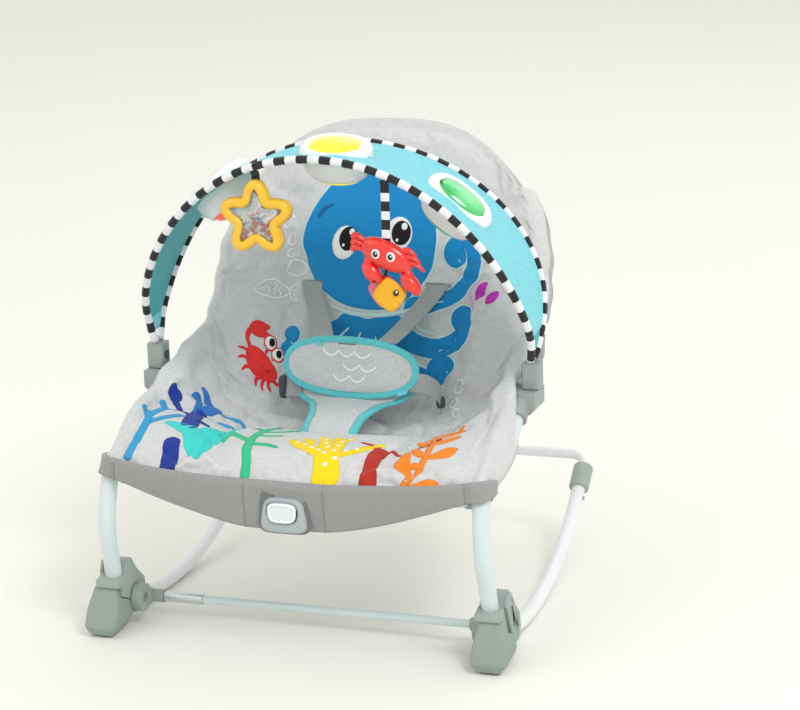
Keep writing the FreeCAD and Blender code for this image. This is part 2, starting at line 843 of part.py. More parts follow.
def seat_cushion():
    sections = [seat_section(*row) for row in seat_profile]
    solid = Part.makeLoft(sections, True, True)
    solid = solid.common(front_region(seat_front_edge + skirt_thickness + 0.5, 120.0, 300.0))
    solid = solid.cut(unit_envelope())
    for side_tube in leg_rods(leg_r + 0.6):
        solid = solid.cut(side_tube)
    for clamp in (bow_bracket_bulk(), mirrored(bow_bracket_bulk())):
        solid = solid.cut(clamp)
    return solid


def bow_bracket_bulk():
    points = leg_points()
    toward = points[3] - points[2]
    toward.normalize()
    return rod(points[2] + toward * 7.0, toward, leg_r + bracket_wall + 0.5, bracket_length + 2)


def front_region(edge, low, high):
    """Everything behind the bowed front edge, between two heights."""
    half = seat_half_width
    rear = rear_bar_station
    corner = edge + seat_corner_edge - seat_front_edge
    arc = Part.Arc(V(-half, corner, low), V(0, edge, low), V(half, corner, low)).toShape()
    sides = [Part.LineSegment(V(half, corner, low), V(half, rear, low)).toShape(),
             Part.LineSegment(V(half, rear, low), V(-half, rear, low)).toShape(),
             Part.LineSegment(V(-half, rear, low), V(-half, corner, low)).toShape()]
    return Part.Face(Part.Wire([arc] + sides)).extrude(V(0, 0, high - low))


def seat_skirt():
    low = skirt_top - skirt_centre_drop
    half = seat_half_width - leg_r - 3.0
    wall = front_region(seat_front_edge, low, skirt_top)
    wall = wall.cut(front_region(seat_front_edge + skirt_thickness, low - 1, skirt_top + 1))
    wall = wall.common(block(-half, half, seat_front_edge - 5, seat_corner_edge + 12, low, skirt_top))
    corner = skirt_top - skirt_corner_drop
    y0 = seat_front_edge - 10
    arc = Part.Arc(V(-half, y0, corner), V(0, y0, low), V(half, y0, corner)).toShape()
    sides = [Part.LineSegment(V(half, y0, corner), V(half, y0, low - 9)).toShape(),
             Part.LineSegment(V(half, y0, low - 9), V(-half, y0, low - 9)).toShape(),
             Part.LineSegment(V(-half, y0, low - 9), V(-half, y0, corner)).toShape()]
    below = Part.Face(Part.Wire([arc] + sides)).extrude(V(0, 80, 0))
    wall = wall.cut(below).cut(unit_envelope())
    for clamp in (bow_bracket(), mirrored(bow_bracket())):
        wall = wall.cut(clamp)
    return wall.cut(bow_rod(bow_r + 0.5))


def pad_axes():
    lean = math.radians(pad_lean)
    up = V(0, math.sin(lean), math.cos(lean))
    normal = V(0, -math.cos(lean), math.sin(lean))
    return up, normal


def waist_pad():
    up, normal = pad_axes()
    centre = V(0, pad_station, pad_height)
    return oval(centre, across, up, normal, pad_half_width, pad_half_height,
                -pad_thickness / 2, pad_thickness / 2)


def crotch_strap():
    up, normal = pad_axes()
    top = V(0, pad_station, pad_height) - up * (pad_half_height + 1.0)
    foot = V(0, 96.0, 216.0)
    run = top - foot
    along = V(run.x, run.y, run.z)
    along.normalize()
    out = across.cross(along)
    out.normalize()
    sections = []
    for place, width in ((foot, crotch_width_low), (top, crotch_width_top)):
        half = across * (width / 2)
        depth = out * (crotch_thickness / 2)
        corners = [place - half - depth, place + half - depth, place + half + depth, place - half + depth]
        sections.append(Part.makePolygon(corners + corners[:1]))
    return Part.makeLoft(sections, True, True).cut(waist_pad())


def waist_strap():
    start = V(pad_half_width + buckle_size[0] + 1.0, pad_station, pad_height - 8)
    end = V(seat_rear_half - 16.0, seat_rear_station - 4.0, pad_height - 8)
    run = end - start
    side = V(-run.y, run.x, 0)
    side.normalize()
    side = side * (strap_thickness / 2)
    corners = [start + side, end + side, end - side, start - side]
    face = Part.Face(Part.makePolygon(corners + corners[:1]))
    strap = face.extrude(V(0, 0, waist_strap_width))
    strap.translate(V(0, 0, -waist_strap_width / 2))
    return strap


def buckle():
    width, depth, height = buckle_size
    x = pad_half_width + 0.5
    solid = block(x, x + width, pad_station - depth / 2, pad_station + depth / 2,
                  pad_height - 8 - height / 2, pad_height - 8 + height / 2)
    return soft_edges(solid, 2.0).cut(waist_pad())


# ---- toy bar ----
def hoop_poles(spread, rise, crown, bulge, shoulder):
    """Poles of half an arch, from the block up to the crown."""
    return [V(block_x, block_station, block_top + hoop_foot_rise), V(block_x + bulge, spread, rise),
            V(shoulder, crown, hoop_crown_height), V(0, crown, hoop_crown_height)]


def front_poles():
    return hoop_poles(hoop_spread_front, hoop_rise_front, hoop_crown_front, hoop_bulge_front,
                      hoop_shoulder_front)


def rear_poles():
    return hoop_poles(hoop_spread_rear, hoop_rise_rear, hoop_crown_rear, hoop_bulge_rear,
                      hoop_shoulder_rear)


def hoop_points(poles, lean):
    """Corners of an arch from block to block; its feet start side by side on the blocks."""
    start = poles[0] + V(0, lean * (hoop_r + hoop_foot_gap), -hoop_foot_rise)
    right = [start] + [bezier(poles, i / hoop_steps) for i in range(1, hoop_steps)]
    left = [V(-p.x, p.y, p.z) for p in reversed(right)]
    return right + [bezier(poles, 1.0)] + left


def hoop(poles, lean):
    return bent_tube(hoop_points(poles, lean), hoop_r, 0)


def arch_point(place):
    """Front and rear hoop points at a place from 0 at a block to 1 at the crown; minus is the left."""
    front = bezier(front_poles(), abs(place))
    rear = bezier(rear_poles(), abs(place))
    if place < 0:
        front.x = -front.x
        rear.x = -rear.x
    return front, rear


def arch_frame(place):
    """Middle of the band, and its directions along the arch, across it and out of it."""
    front, rear = arch_point(place)
    sign = -1.0 if place < 0 else 1.0
    step = 0.01
    before, after = abs(place) - step, min(abs(place) + step, 1.0)
    f0, r0 = arch_point(sign * before)
    f1, r1 = arch_point(sign * after)
    along = (f1 + r1 - f0 - r0)
    along.normalize()
    width = rear - front
    width.normalize()
    out = along.cross(width)
    out.normalize()
    if out.z < 0:
        out = -out
    along = width.cross(out)
    along.normalize()
    return (front + rear) * 0.5, along, width, out


def band():
    """Fabric between the hoops, closed over the crown."""
    sections = []
    places = [blend_value(0.1, 1.0, i / band_steps) for i in range(band_steps + 1)]
    for place in places:
        sections.append(band_section(place, 1.0))
    for place in reversed(places[:-1]):
        sections.append(band_section(place, -1.0))
    sheet = Part.makeLoft(sections, True, True)
    for place in module_places:
        sheet = sheet.cut(module_housing(place)).cut(module_lens(place))
    return sheet


def band_section(place, side):
    front, rear = arch_point(place)
    middle, along, width, out = arch_frame(place)
    inset = width * (hoop_r + band_gap)
    lift = out * (band_thickness / 2)
    corners = [front + inset - lift, rear - inset - lift, rear - inset + lift, front + inset + lift]
    corners = [V(side * p.x, p.y, p.z) for p in corners]
    return Part.makePolygon(corners + corners[:1])


def module_housing(place):
    middle, along, width, out = arch_frame(place)
    upper = oval(middle, along, width, out, module_half_length, module_half_width, 0, module_rise)
    lower = oval(middle, along, width, out, module_half_length - 2, module_half_width - 2,
                 -module_drop, 0)
    return upper.fuse(lower).removeSplitter()


def module_lens(place):
    """Upper dome and lower window of one light, as two solids."""
    middle, along, width, out = arch_frame(place)
    dome = oval(middle, along, width, out, lens_half_length, lens_half_width, module_rise,
                module_rise + lens_rise)
    window = oval(middle, along, width, out, lens_half_length - 6, lens_half_width - 5,
                  -module_drop - lens_rise, -module_drop)
    return group([dome, window])


def hollowed_housing(place):
    middle, along, width, out = arch_frame(place)
    cavity = oval(middle, along, width, out, lens_half_length - 2, lens_half_width - 2,
                  -module_drop + 2, module_rise - 2)
    return module_housing(place).cut(cavity)


def light_board(place):
    middle, along, width, out = arch_frame(place)
    return oval(middle, along, width, out, lens_half_length - 4, lens_half_width - 4, 2, 3.6)


def speaker():
    middle, along, width, out = arch_frame(1.0)
    return rod(middle - out * (module_drop - 3), out, speaker_radius, speaker_thickness)


def end_block():
    half = block_width / 2
    deep = block_depth / 2
    x0, x1 = block_x - half, block_x + half
    body = block(x0, x1, block_station - deep, block_station + deep, block_bottom, block_top - 4)
    upright = [e for e in body.Edges if abs(e.tangentAt(e.FirstParameter).z) > 0.9]
    body = body.makeFillet(4.0, upright)
    body = body.fuse(tab_solid(0).common(block(x0, x1, 0, rear_bar_station, 0, block_bottom + 0.5)))
    body = body.removeSplitter()
    return body.cut(release_pocket())


def release_place():
    return V(block_x - block_width / 2, block_station, (block_bottom + block_top) / 2 - 2)


def release_pocket():
    return rod(release_place() - across, across, release_radius + pin_gap,
               release_length + release_travel + 0.5)


def release_button():
    return rod(release_place() - across * 1.8, across, release_radius, release_length)


# ---- hanging toys ----
def hoop_hang(x):
    """Place on the front hoop's centreline above a toy at the given distance across."""
    cut = Part.Face(Part.Wire(Part.makeCircle(2 * hoop_crown_height, V(x, 0, 0), across)))
    crossing = routed_wire(hoop_points(front_poles(), -1)).section(cut)
    return crossing.Vertexes[0].Point


def star_outline(centre, outer, inner, y0, y1):
    points = []
    for i in range(10):
        radius = outer if i % 2 == 0 else inner
        angle = math.radians(90 + 36 * i)
        points.append((centre.x + radius * math.cos(angle), centre.z + radius * math.sin(angle)))
    return prism_y(points, y0, y1)


def star_centre():
    return hoop_hang(star_across) - V(0, 0, star_drop)


def star_ring():
    centre = star_centre()
    half = star_depth / 2
    ring = star_outline(centre, star_radius, star_valley, centre.y - half, centre.y + half)
    return ring.cut(star_outline(centre, star_radius - 1.6 * star_wall, star_valley - 0.75 * star_wall,
                                 centre.y - half - 1, centre.y + half + 1))


def star_window():
    centre = star_centre()
    outer = star_radius - 1.6 * star_wall - 0.3
    inner = star_valley - 0.75 * star_wall - 0.25
    half = star_depth / 2 - 1.5
    return star_outline(centre, outer, inner, centre.y - half, centre.y + half)


def motor_start():
    cell = cell_centre()
    return V(-motor_length / 2 - weight_thickness / 2,
             cell.y + cell_diameter / 2 + weight_radius + moulding_gap, cell.z)


def motor():
    start = motor_start()
    can = rod(start, across, motor_radius, motor_length)
    shaft = rod(start + across * (motor_length - 1), across, shaft_radius, weight_thickness + 1.6)
    return can.fuse(shaft).removeSplitter()


def motor_weight():
    """Half-round weight on the motor's shaft, which makes the seat tremble."""
    centre = motor_start() + across * (motor_length + 0.8)
    disc = rod(centre, across, weight_radius, weight_thickness - 1.0)
    upper = block(centre.x - 1, centre.x + weight_thickness, centre.y - 2 * weight_radius,
                  centre.y + 2 * weight_radius, centre.z + shaft_radius + 1.2, centre.z + 2 * weight_radius)
    return disc.cut(upper).cut(rod(centre - across, across, shaft_radius + 0.03, weight_thickness + 2))


def toy_strap(x, drop):
    """Flat strap from just under the hoop down to its toy."""
    place = hoop_hang(x)
    half = toy_strap_width / 2
    thin = toy_strap_thickness / 2
    hoop_low = min(hoop_hang(x - half).z, hoop_hang(x + half).z) - hoop_r
    return block(x - half, x + half, place.y - thin, place.y + thin, place.z - drop,
                 hoop_low - toy_strap_gap)


def disc_y(centre, radius, depth):
    return rod(centre - V(0, depth / 2, 0), V(0, 1, 0), radius, depth)


def crab_centre():
    return hoop_hang(crab_across) - V(0, 0, crab_drop)


def crab():
    centre = crab_centre()
    body = oval(centre, across, V(0, 0, 1), V(0, -1, 0), crab_half_width, crab_half_height,
                -crab_depth / 2, crab_depth / 2)
    pieces = []
    for side in (-1, 1):
        pieces.append(disc_y(centre + V(side * 26, 0, -19), claw_radius, claw_depth))
        pieces.append(disc_y(centre + V(side * 33, 0, 8), 7.0, claw_depth - 4))
        pieces.append(block(centre.x + min(side * 14, side * 30), centre.x + max(side * 14, side * 30),
                            centre.y - 5, centre.y + 5, centre.z - 12, centre.z + 8))
    return body.fuse(pieces).removeSplitter()


def teether_centre():
    return crab_centre() - V(0, 0, crab_half_height + teether_drop - 6)


def teether():
    centre = teether_centre()
    plates = []
    for side in (-1, 1):
        corners = [(centre.x - teether_half, centre.z), (centre.x, centre.z + teether_half),
                   (centre.x + teether_half, centre.z), (centre.x, centre.z - teether_half)]
        near = centre.y + side * (teether_gap / 2)
        far = near + side * teether_thickness
        plates.append(prism_y(corners, min(near, far), max(near, far)))
    return group(plates)


# ---- sub-parts ----
def pair(shape):
    return group([shape, mirrored(shape)])


def main():
    right = {
        "foot_housing": foot_housing(), "soft_foot": soft_foot(), "leg_tube": leg_tube(),
        "rocker_tube": rocker_tube(), "recline_hub": hub_block(), "recline_arm": recline_arm(),
        "toy_bar_end": end_block(), "release_button": release_button(),
    }
    nodes = {}
    for name, shape in right.items():
        nodes[name + "_right"] = shape
        nodes[name + "_left"] = mirrored(shape)
    nodes.update({
        "foot_covers": pair(foot_cover()),
        "foot_screws": foot_screw_group(),
        "rear_bar": rear_bar(),
        "rear_sleeves": pair(rear_sleeve()),
        "snap_buttons": pair(snap_button()),
        "kickstand_pins": pair(kick_pin()),
        "kickstand_hubs": pair(kick_hub()),
        "crossbar": crossbar(),
        "crossbar_channel": group([crossbar_channel(), channel_rivet()]),
        "recline_pins": pair(hinge_pin()),
        "seat_bow": seat_bow(),
        "bow_brackets": pair(bow_bracket()),
        "vibration_case": unit_shell(),
        "vibration_lid": unit_lid(),
        "lid_screws": lid_screw_group(),
        "vibration_button": unit_button(),
        "circuit_board": circuit_board(),
        "battery_cell": battery_cell(),
        "motor": motor(),
        "motor_weight": motor_weight(),
        "seat_cushion": seat_cushion(),
        "seat_skirt": seat_skirt(),
        "waist_pad": waist_pad(),
        "crotch_strap": crotch_strap(),
        "waist_straps": pair(waist_strap()),
        "buckles": pair(buckle()),
        "back_tube": back_tube(),
        "back_cushion": back_cushion(),
        "shoulder_straps": pair(shoulder_strap(strap_offset)),
        "front_hoop": hoop(front_poles(), -1),
        "rear_hoop": hoop(rear_poles(), 1),
        "toy_bar_band": band(),
        "light_housings": group([hollowed_housing(p) for p in module_places]),
        "lens_left": module_lens(module_places[0]),
        "lens_middle": module_lens(module_places[1]),
        "lens_right": module_lens(module_places[2]),
        "light_boards": group([light_board(p) for p in module_places]),
        "speaker": speaker(),
        "star_strap": toy_strap(star_across, star_drop - star_radius),
        "star_ring": star_ring(),
        "star_window": star_window(),
        "crab_strap": toy_strap(crab_across, crab_drop - crab_half_height),
        "crab": crab(),
        "teether": teether(),
    })
    os.makedirs("parts", exist_ok=True)
    for name, shape in nodes.items():
        shape.translate(V(0, -centre_station, 0))
        shape.exportStep("parts/" + name + ".step")
        if not shape.isValid():
            print("not valid:", name)
    print(len(nodes), "parts; stations are measured from", centre_station, "in front of the origin")


main()
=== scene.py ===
import json
import math

import bmesh
import bpy
import numpy as np
from mathutils import Matrix, Vector


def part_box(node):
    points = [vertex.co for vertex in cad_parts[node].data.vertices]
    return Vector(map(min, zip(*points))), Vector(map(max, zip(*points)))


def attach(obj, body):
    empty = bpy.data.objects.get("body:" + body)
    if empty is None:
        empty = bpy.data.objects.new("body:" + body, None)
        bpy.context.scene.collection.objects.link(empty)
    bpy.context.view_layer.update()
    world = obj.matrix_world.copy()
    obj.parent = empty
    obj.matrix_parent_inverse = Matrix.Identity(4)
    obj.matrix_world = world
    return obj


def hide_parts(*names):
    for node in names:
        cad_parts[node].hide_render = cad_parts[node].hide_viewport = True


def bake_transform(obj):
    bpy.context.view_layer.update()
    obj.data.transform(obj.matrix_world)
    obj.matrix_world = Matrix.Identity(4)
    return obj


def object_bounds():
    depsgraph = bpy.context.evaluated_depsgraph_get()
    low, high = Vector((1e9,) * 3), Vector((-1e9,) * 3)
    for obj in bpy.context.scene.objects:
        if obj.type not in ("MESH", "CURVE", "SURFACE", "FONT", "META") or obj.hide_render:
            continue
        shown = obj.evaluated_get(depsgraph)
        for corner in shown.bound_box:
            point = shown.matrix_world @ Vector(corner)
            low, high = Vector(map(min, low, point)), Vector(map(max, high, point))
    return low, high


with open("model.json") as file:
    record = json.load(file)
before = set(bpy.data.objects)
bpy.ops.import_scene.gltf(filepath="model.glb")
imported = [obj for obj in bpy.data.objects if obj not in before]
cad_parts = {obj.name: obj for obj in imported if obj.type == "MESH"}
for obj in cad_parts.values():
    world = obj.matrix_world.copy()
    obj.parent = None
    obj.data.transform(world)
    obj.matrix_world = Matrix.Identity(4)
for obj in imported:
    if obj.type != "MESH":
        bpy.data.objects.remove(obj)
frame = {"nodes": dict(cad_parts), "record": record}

cadLow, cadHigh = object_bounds()
nodes = frame["nodes"]
mm = 0.001
toeStation = -46.0   # the front toes, in mm from the feet's own zero station
shift = np.array([0.0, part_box("soft_foot_left")[0].y - toeStation * mm, 0.0])
print("frame loaded:", len(nodes), "sub-parts")


camera = {
    "place": (0.9432, -2.5450, 0.9707),
    "azimuth": 19.17,
    "elevation": 14.28,
    "roll": -1.76,
    "lens": 109.53,
}


def makeCamera():
    turn = math.radians(camera["azimuth"])
    rise = math.radians(camera["elevation"])
    roll = math.radians(camera["roll"])
    back = Vector((math.sin(turn) * math.cos(rise), -math.cos(turn) * math.cos(rise), math.sin(rise)))
    level = Vector((math.cos(turn), math.sin(turn), 0))
    top = back.cross(level)
    right = level * math.cos(roll) + top * math.sin(roll)
    up = back.cross(right)
    data = bpy.data.cameras.new("camera")
    data.lens = camera["lens"]
    data.sensor_width = 36.0
    data.clip_end = 50.0
    eye = bpy.data.objects.new("camera", data)
    eye.matrix_world = Matrix.Translation(camera["place"]) @ Matrix((right, up,
                                                                     back)).transposed().to_4x4()
    bpy.context.scene.collection.objects.link(eye)
    bpy.context.scene.camera = eye


makeCamera()


def mix(a, b, t):
    return a + (b - a) * t


def ease(start, end, x):
    t = np.clip((x - start) / (end - start), 0.0, 1.0)
    return t * t * (3 - 2 * t)


def splineThrough(points, places):
    # smooth curve, or sheet of curves, through points; places run from 0 to 1 along the first axis
    points = np.asarray(points, float)
    gaps = np.sqrt(((points[1:] - points[:-1]) ** 2).sum(-1))
    if gaps.ndim > 1:
        gaps = gaps.mean(axis=tuple(range(1, gaps.ndim)))
    knots = np.concatenate([[0.0], np.cumsum(gaps)])
    knots /= knots[-1]
    slopes = np.gradient(points, knots, axis=0)
    places = np.asarray(places, float)
    i = np.clip(np.searchsorted(knots, places, side="right") - 1, 0, len(knots) - 2)
    gap = knots[i + 1] - knots[i]
    shape = (-1,) + (1,) * (points.ndim - 1)
    t = ((places - knots[i]) / gap).reshape(shape)
    gap = gap.reshape(shape)
    a = 2 * t ** 3 - 3 * t ** 2 + 1
    b = t ** 3 - 2 * t ** 2 + t
    c = 3 * t ** 2 - 2 * t ** 3
    d = t ** 3 - t ** 2
    return a * points[i] + b * gap * slopes[i] + c * points[i + 1] + d * gap * slopes[i + 1]


def lengthAlong(path):
    steps = np.sqrt(((path[1:] - path[:-1]) ** 2).sum(-1))
    return np.concatenate([[0.0], np.cumsum(steps)])


def evenPath(points, step):
    # smooth path through given points, with even steps of about the given length
    fine = splineThrough(points, np.linspace(0, 1, 40 * len(points)))
    run = lengthAlong(fine)
    count = max(3, int(round(run[-1] / step)) + 1)
    want = np.linspace(0, run[-1], count)
    return np.stack([np.interp(want, run, fine[:, k]) for k in range(fine.shape[1])], axis=1)


def gridFaces(rows, columns, first=0, ring=False):
    faces = []
    last = columns if ring else columns - 1
    for i in range(rows - 1):
        for j in range(last):
            a = first + i * columns + j
            b = first + i * columns + (j + 1) % columns
            faces.append((a, b, b + columns, a + columns))
    return faces


def makePiece(name, points, faces, materials, picks=None, smooth=True):
    # points are in mm with stations lengthwise; the piece stands in the frame's metres
    mesh = bpy.data.meshes.new(name)
    mesh.from_pydata((np.asarray(points, float) * mm + shift).tolist(), [], faces)
    for material in materials:
        mesh.materials.append(material)
    if picks is not None:
        mesh.polygons.foreach_set("material_index", np.asarray(picks, np.int32))
    mesh.polygons.foreach_set("use_smooth", np.full(len(faces), smooth))
    mesh.update()
    piece = bpy.data.objects.new(name, mesh)
    bpy.context.scene.collection.objects.link(piece)
    return piece


def joined(parts):
    # several (points, faces) as one
    points, faces, first = [], [], 0
    for p, f in parts:
        points.append(np.asarray(p, float))
        faces += [tuple(k + first for k in face) for face in f]
        first += len(p)
    return np.concatenate(points), faces


def outwards(piece):
    work = bmesh.new()
    work.from_mesh(piece.data)
    bmesh.ops.recalc_face_normals(work, faces=work.faces)
    work.to_mesh(piece.data)
    work.free()
    return piece


def clothPlaces(piece, places):
    # where each point lies on the flat cloth, in metres, for the weave
    attribute = piece.data.attributes.new("clothPlace", "FLOAT_VECTOR", "POINT")
    flat = np.zeros((len(piece.data.vertices), 3), np.float32)
    flat[:, :2] = np.asarray(places)[:, :2] * mm
    attribute.data.foreach_set("vector", flat.ravel())
    return piece


def frameAlong(path):
    # a steady pair of side directions along a path
    ahead = np.gradient(path, axis=0)
    ahead /= np.linalg.norm(ahead, axis=1)[:, None]
    side = np.cross(ahead[0], (0.0, 0.0, 1.0))
    if np.linalg.norm(side) < 0.1:
        side = np.cross(ahead[0], (0.0, 1.0, 0.0))
    sides = []
    for step in ahead:
        side = side - step * np.dot(side, step)
        side = side / np.linalg.norm(side)
        sides.append(side)
    sides = np.array(sides)
    return ahead, sides, np.cross(sides, ahead)


def tubeMesh(path, radius, sides=16, capped=True, flat=1.0):
    # tube along a path; radius may change along it, and flat squeezes it
    path = np.asarray(path, float)
    radius = np.broadcast_to(np.asarray(radius, float), (len(path),))
    ahead, right, up = frameAlong(path)
    turn = np.linspace(0, 2 * math.pi, sides, endpoint=False)
    ring = (np.cos(turn)[None, :, None] * right[:, None, :]
            + flat * np.sin(turn)[None, :, None] * up[:, None, :])
    points = (path[:, None, :] + radius[:, None, None] * ring).reshape(-1, 3)
    faces = gridFaces(len(path), sides, ring=True)
    if capped:
        faces.append(tuple(reversed(range(sides))))
        last = (len(path) - 1) * sides
        faces.append(tuple(range(last, last + sides)))
    return points, faces


def ribbonMesh(path, across, width, thickness):
    # flat strap along a path; across is the width's direction at each step
    path = np.asarray(path, float)
    across = np.broadcast_to(np.asarray(across, float), path.shape)
    across = across / np.linalg.norm(across, axis=1)[:, None]
    width = np.broadcast_to(np.asarray(width, float), (len(path),))[:, None]
    ahead = np.gradient(path, axis=0)
    out = np.cross(across, ahead)
    out /= np.linalg.norm(out, axis=1)[:, None]
    half = thickness / 2
    lip = min(thickness, 1.0)
    rows = []
    for w, h in ((-0.5, 0.0), (-0.5, 0.6), (-0.42, 1.0), (0.0, 1.0), (0.42, 1.0), (0.5, 0.6),
                 (0.5, 0.0), (0.5, -0.6), (0.42, -1.0), (0.0, -1.0), (-0.42, -1.0), (-0.5, -0.6)):
        inset = lip * (1 - abs(h)) * 0.2 * np.sign(w)
        rows.append(path + across * (w * width + inset) + out * (h * half))
    points = np.stack(rows, axis=1)
    sides = points.shape[1]
    faces = gridFaces(len(path), sides, ring=True)
    faces.append(tuple(reversed(range(sides))))
    last = (len(path) - 1) * sides
    faces.append(tuple(range(last, last + sides)))
    return points.reshape(-1, 3), faces


def ribbonPlaces(path, width, sides=12):
    run = lengthAlong(np.asarray(path, float))
    lateral = np.array([-0.5, -0.5, -0.42, 0, 0.42, 0.5, 0.5, 0.5, 0.42, 0, -0.42, -0.5])
    width = np.broadcast_to(np.asarray(width, float), (len(run),))
    return np.stack([(lateral[None, :] * width[:, None]).ravel(), np.repeat(run, sides)], axis=1)


def latheRings(rings, segments, power=2.0):
    # rings of (half length, half width, height) in a local frame; power above 2 squares the oval
    turn = np.linspace(0, 2 * math.pi, segments, endpoint=False)
    c, s = np.cos(turn), np.sin(turn)
    u = np.sign(c) * np.abs(c) ** (2 / power)
    v = np.sign(s) * np.abs(s) ** (2 / power)
    points = []
    for halfLength, halfWidth, height in rings:
        points.append(np.stack([u * halfLength, v * halfWidth, np.full(segments, height)], axis=1))
    points = np.concatenate(points)
    faces = gridFaces(len(rings), segments, ring=True)
    faces.append(tuple(reversed(range(segments))))
    last = (len(rings) - 1) * segments
    faces.append(tuple(range(last, last + segments)))
    return points, faces


def inFrame(points, centre, u, v, w):
    return (np.asarray(centre)[None, :] + points[:, 0:1] * np.asarray(u)[None, :]
            + points[:, 1:2] * np.asarray(v)[None, :] + points[:, 2:3] * np.asarray(w)[None, :])


def ballMesh(centre, radii, segments=20, rings=12, power=2.0):
    turn = np.linspace(-math.pi / 2, math.pi / 2, rings + 1)[1:-1]
    outline = [(abs(math.cos(t)) ** (2 / power),
                math.copysign(abs(math.sin(t)) ** (2 / power), t)) for t in turn]
    points, faces = latheRings([(radii[0] * r, radii[1] * r, radii[2] * h) for r, h in outline],
                               segments, power)
    return points + np.asarray(centre, float), faces


def puff(points, faces, held, pressure, slack, most, frames=20):
    # cloth simulation of a sheet held at its seams; returns how far each point moved, capped
    mesh = bpy.data.meshes.new("puffing")
    mesh.from_pydata((points * mm).tolist(), [], faces)
    mesh.update()
    piece = bpy.data.objects.new("puffing", mesh)
    scene = bpy.context.scene
    scene.collection.objects.link(piece)
    group = piece.vertex_groups.new(name="held")
    group.add([int(k) for k in np.nonzero(held)[0]], 1.0, "REPLACE")
    cloth = piece.modifiers.new("cloth", "CLOTH")
    rules = cloth.settings
    rules.quality = 6
    rules.mass = 0.15
    rules.tension_stiffness = 12
    rules.compression_stiffness = 12
    rules.shear_stiffness = 4
    rules.bending_stiffness = 0.12
    rules.air_damping = 4
    rules.shrink_min = -slack
    rules.shrink_max = -slack
    rules.use_pressure = True
    rules.uniform_pressure_force = pressure
    rules.effector_weights.gravity = 0
    rules.vertex_group_mass = "held"
    cloth.collision_settings.use_collision = False
    cloth.collision_settings.use_self_collision = False
    for number in range(1, frames + 1):
        scene.frame_set(number)
    solved = piece.evaluated_get(bpy.context.evaluated_depsgraph_get()).to_mesh()
    moved = np.zeros(len(points) * 3)
    solved.vertices.foreach_get("co", moved)
    moved = moved.reshape(-1, 3) / mm - points
    bpy.data.objects.remove(piece)
    bpy.data.meshes.remove(mesh)
    scene.frame_set(1)
    far = np.linalg.norm(moved, axis=1)[:, None]
    return moved * np.minimum(1.0, most / np.maximum(far, 1e-6))


def linear(hexColour):
    # sRGB hex to the linear colour that the shader wants
    values = [int(hexColour[i:i + 2], 16) / 255 for i in (1, 3, 5)]
    return tuple(v / 12.92 if v <= 0.04045 else ((v + 0.055) / 1.055) ** 2.4 for v in values) + (1.0,)


def addNode(tree, kind, settings=None, inputs=None):
    node = tree.nodes.new(kind)
    for name, value in (settings or {}).items():
        setattr(node, name, value)
    for name, value in (inputs or {}).items():
        if isinstance(value, bpy.types.NodeSocket):
            tree.links.new(value, node.inputs[name])
        else:
            node.inputs[name].default_value = value
    return node


def newMaterial(name):
    material = bpy.data.materials.new(name)
    material.use_nodes = True
    tree = material.node_tree
    tree.nodes.clear()
    shader = addNode(tree, "ShaderNodeBsdfPrincipled")
    addNode(tree, "ShaderNodeOutputMaterial", inputs={"Surface": shader.outputs["BSDF"]})
    return material, tree, shader


def bumpInto(tree, shader, height, strength, depth):
    bump = addNode(tree, "ShaderNodeBump",
                   inputs={"Height": height, "Strength": strength, "Distance": depth})
    tree.links.new(bump.outputs["Normal"], shader.inputs["Normal"])


def twoTone(tree, factor, first, second):
    # colour between two hexes by a factor from 0 to 1
    return addNode(tree, "ShaderNodeMix", {"data_type": "RGBA"},
                   {"Factor": factor, "A": linear(first), "B": linear(second)}).outputs["Result"]


def mouldedPlastic(name, light, dark, roughness, grain=0.6, depth=0.00012, clear=0.0, ior=1.49):
    # an even coloured moulding: spark-eroded grain in mm, and a slow drift in tone from the flow of the melt
    material, tree, shader = newMaterial(name)
    where = addNode(tree, "ShaderNodeTexCoord").outputs["Object"]
    drift = addNode(tree, "ShaderNodeTexNoise", inputs={"Vector": where, "Scale": 22.0, "Detail": 3.0})
    fine = addNode(tree, "ShaderNodeTexNoise",
                   inputs={"Vector": where, "Scale": 1 / (grain * mm), "Detail": 2.0})
    tree.links.new(twoTone(tree, drift.outputs["Fac"], dark, light), shader.inputs["Base Color"])
    rough = addNode(tree, "ShaderNodeMapRange", inputs={"Value": drift.outputs["Fac"],
                    "To Min": roughness - 0.05, "To Max": roughness + 0.07})
    tree.links.new(rough.outputs["Result"], shader.inputs["Roughness"])
    shader.inputs["IOR"].default_value = ior
    shader.inputs["Coat Weight"].default_value = clear
    shader.inputs["Coat Roughness"].default_value = 0.08
    bumpInto(tree, shader, fine.outputs["Fac"], 0.25, depth)
    return material


def powderCoat(name, light, dark):
    # baked polyester powder on steel tube: satin, with a shallow orange peel about 2 mm across
    material, tree, shader = newMaterial(name)
    where = addNode(tree, "ShaderNodeTexCoord").outputs["Object"]
    peel = addNode(tree, "ShaderNodeTexNoise",
                   inputs={"Vector": where, "Scale": 1 / (2.2 * mm), "Detail": 1.0})
    drift = addNode(tree, "ShaderNodeTexNoise", inputs={"Vector": where, "Scale": 9.0, "Detail": 2.0})
    tree.links.new(twoTone(tree, drift.outputs["Fac"], dark, light), shader.inputs["Base Color"])
    shader.inputs["Roughness"].default_value = 0.32
    shader.inputs["IOR"].default_value = 1.5
    shader.inputs["Coat Weight"].default_value = 0.25
    shader.inputs["Coat Roughness"].default_value = 0.2
    bumpInto(tree, shader, peel.outputs["Fac"], 0.2, 0.00025)
    return material


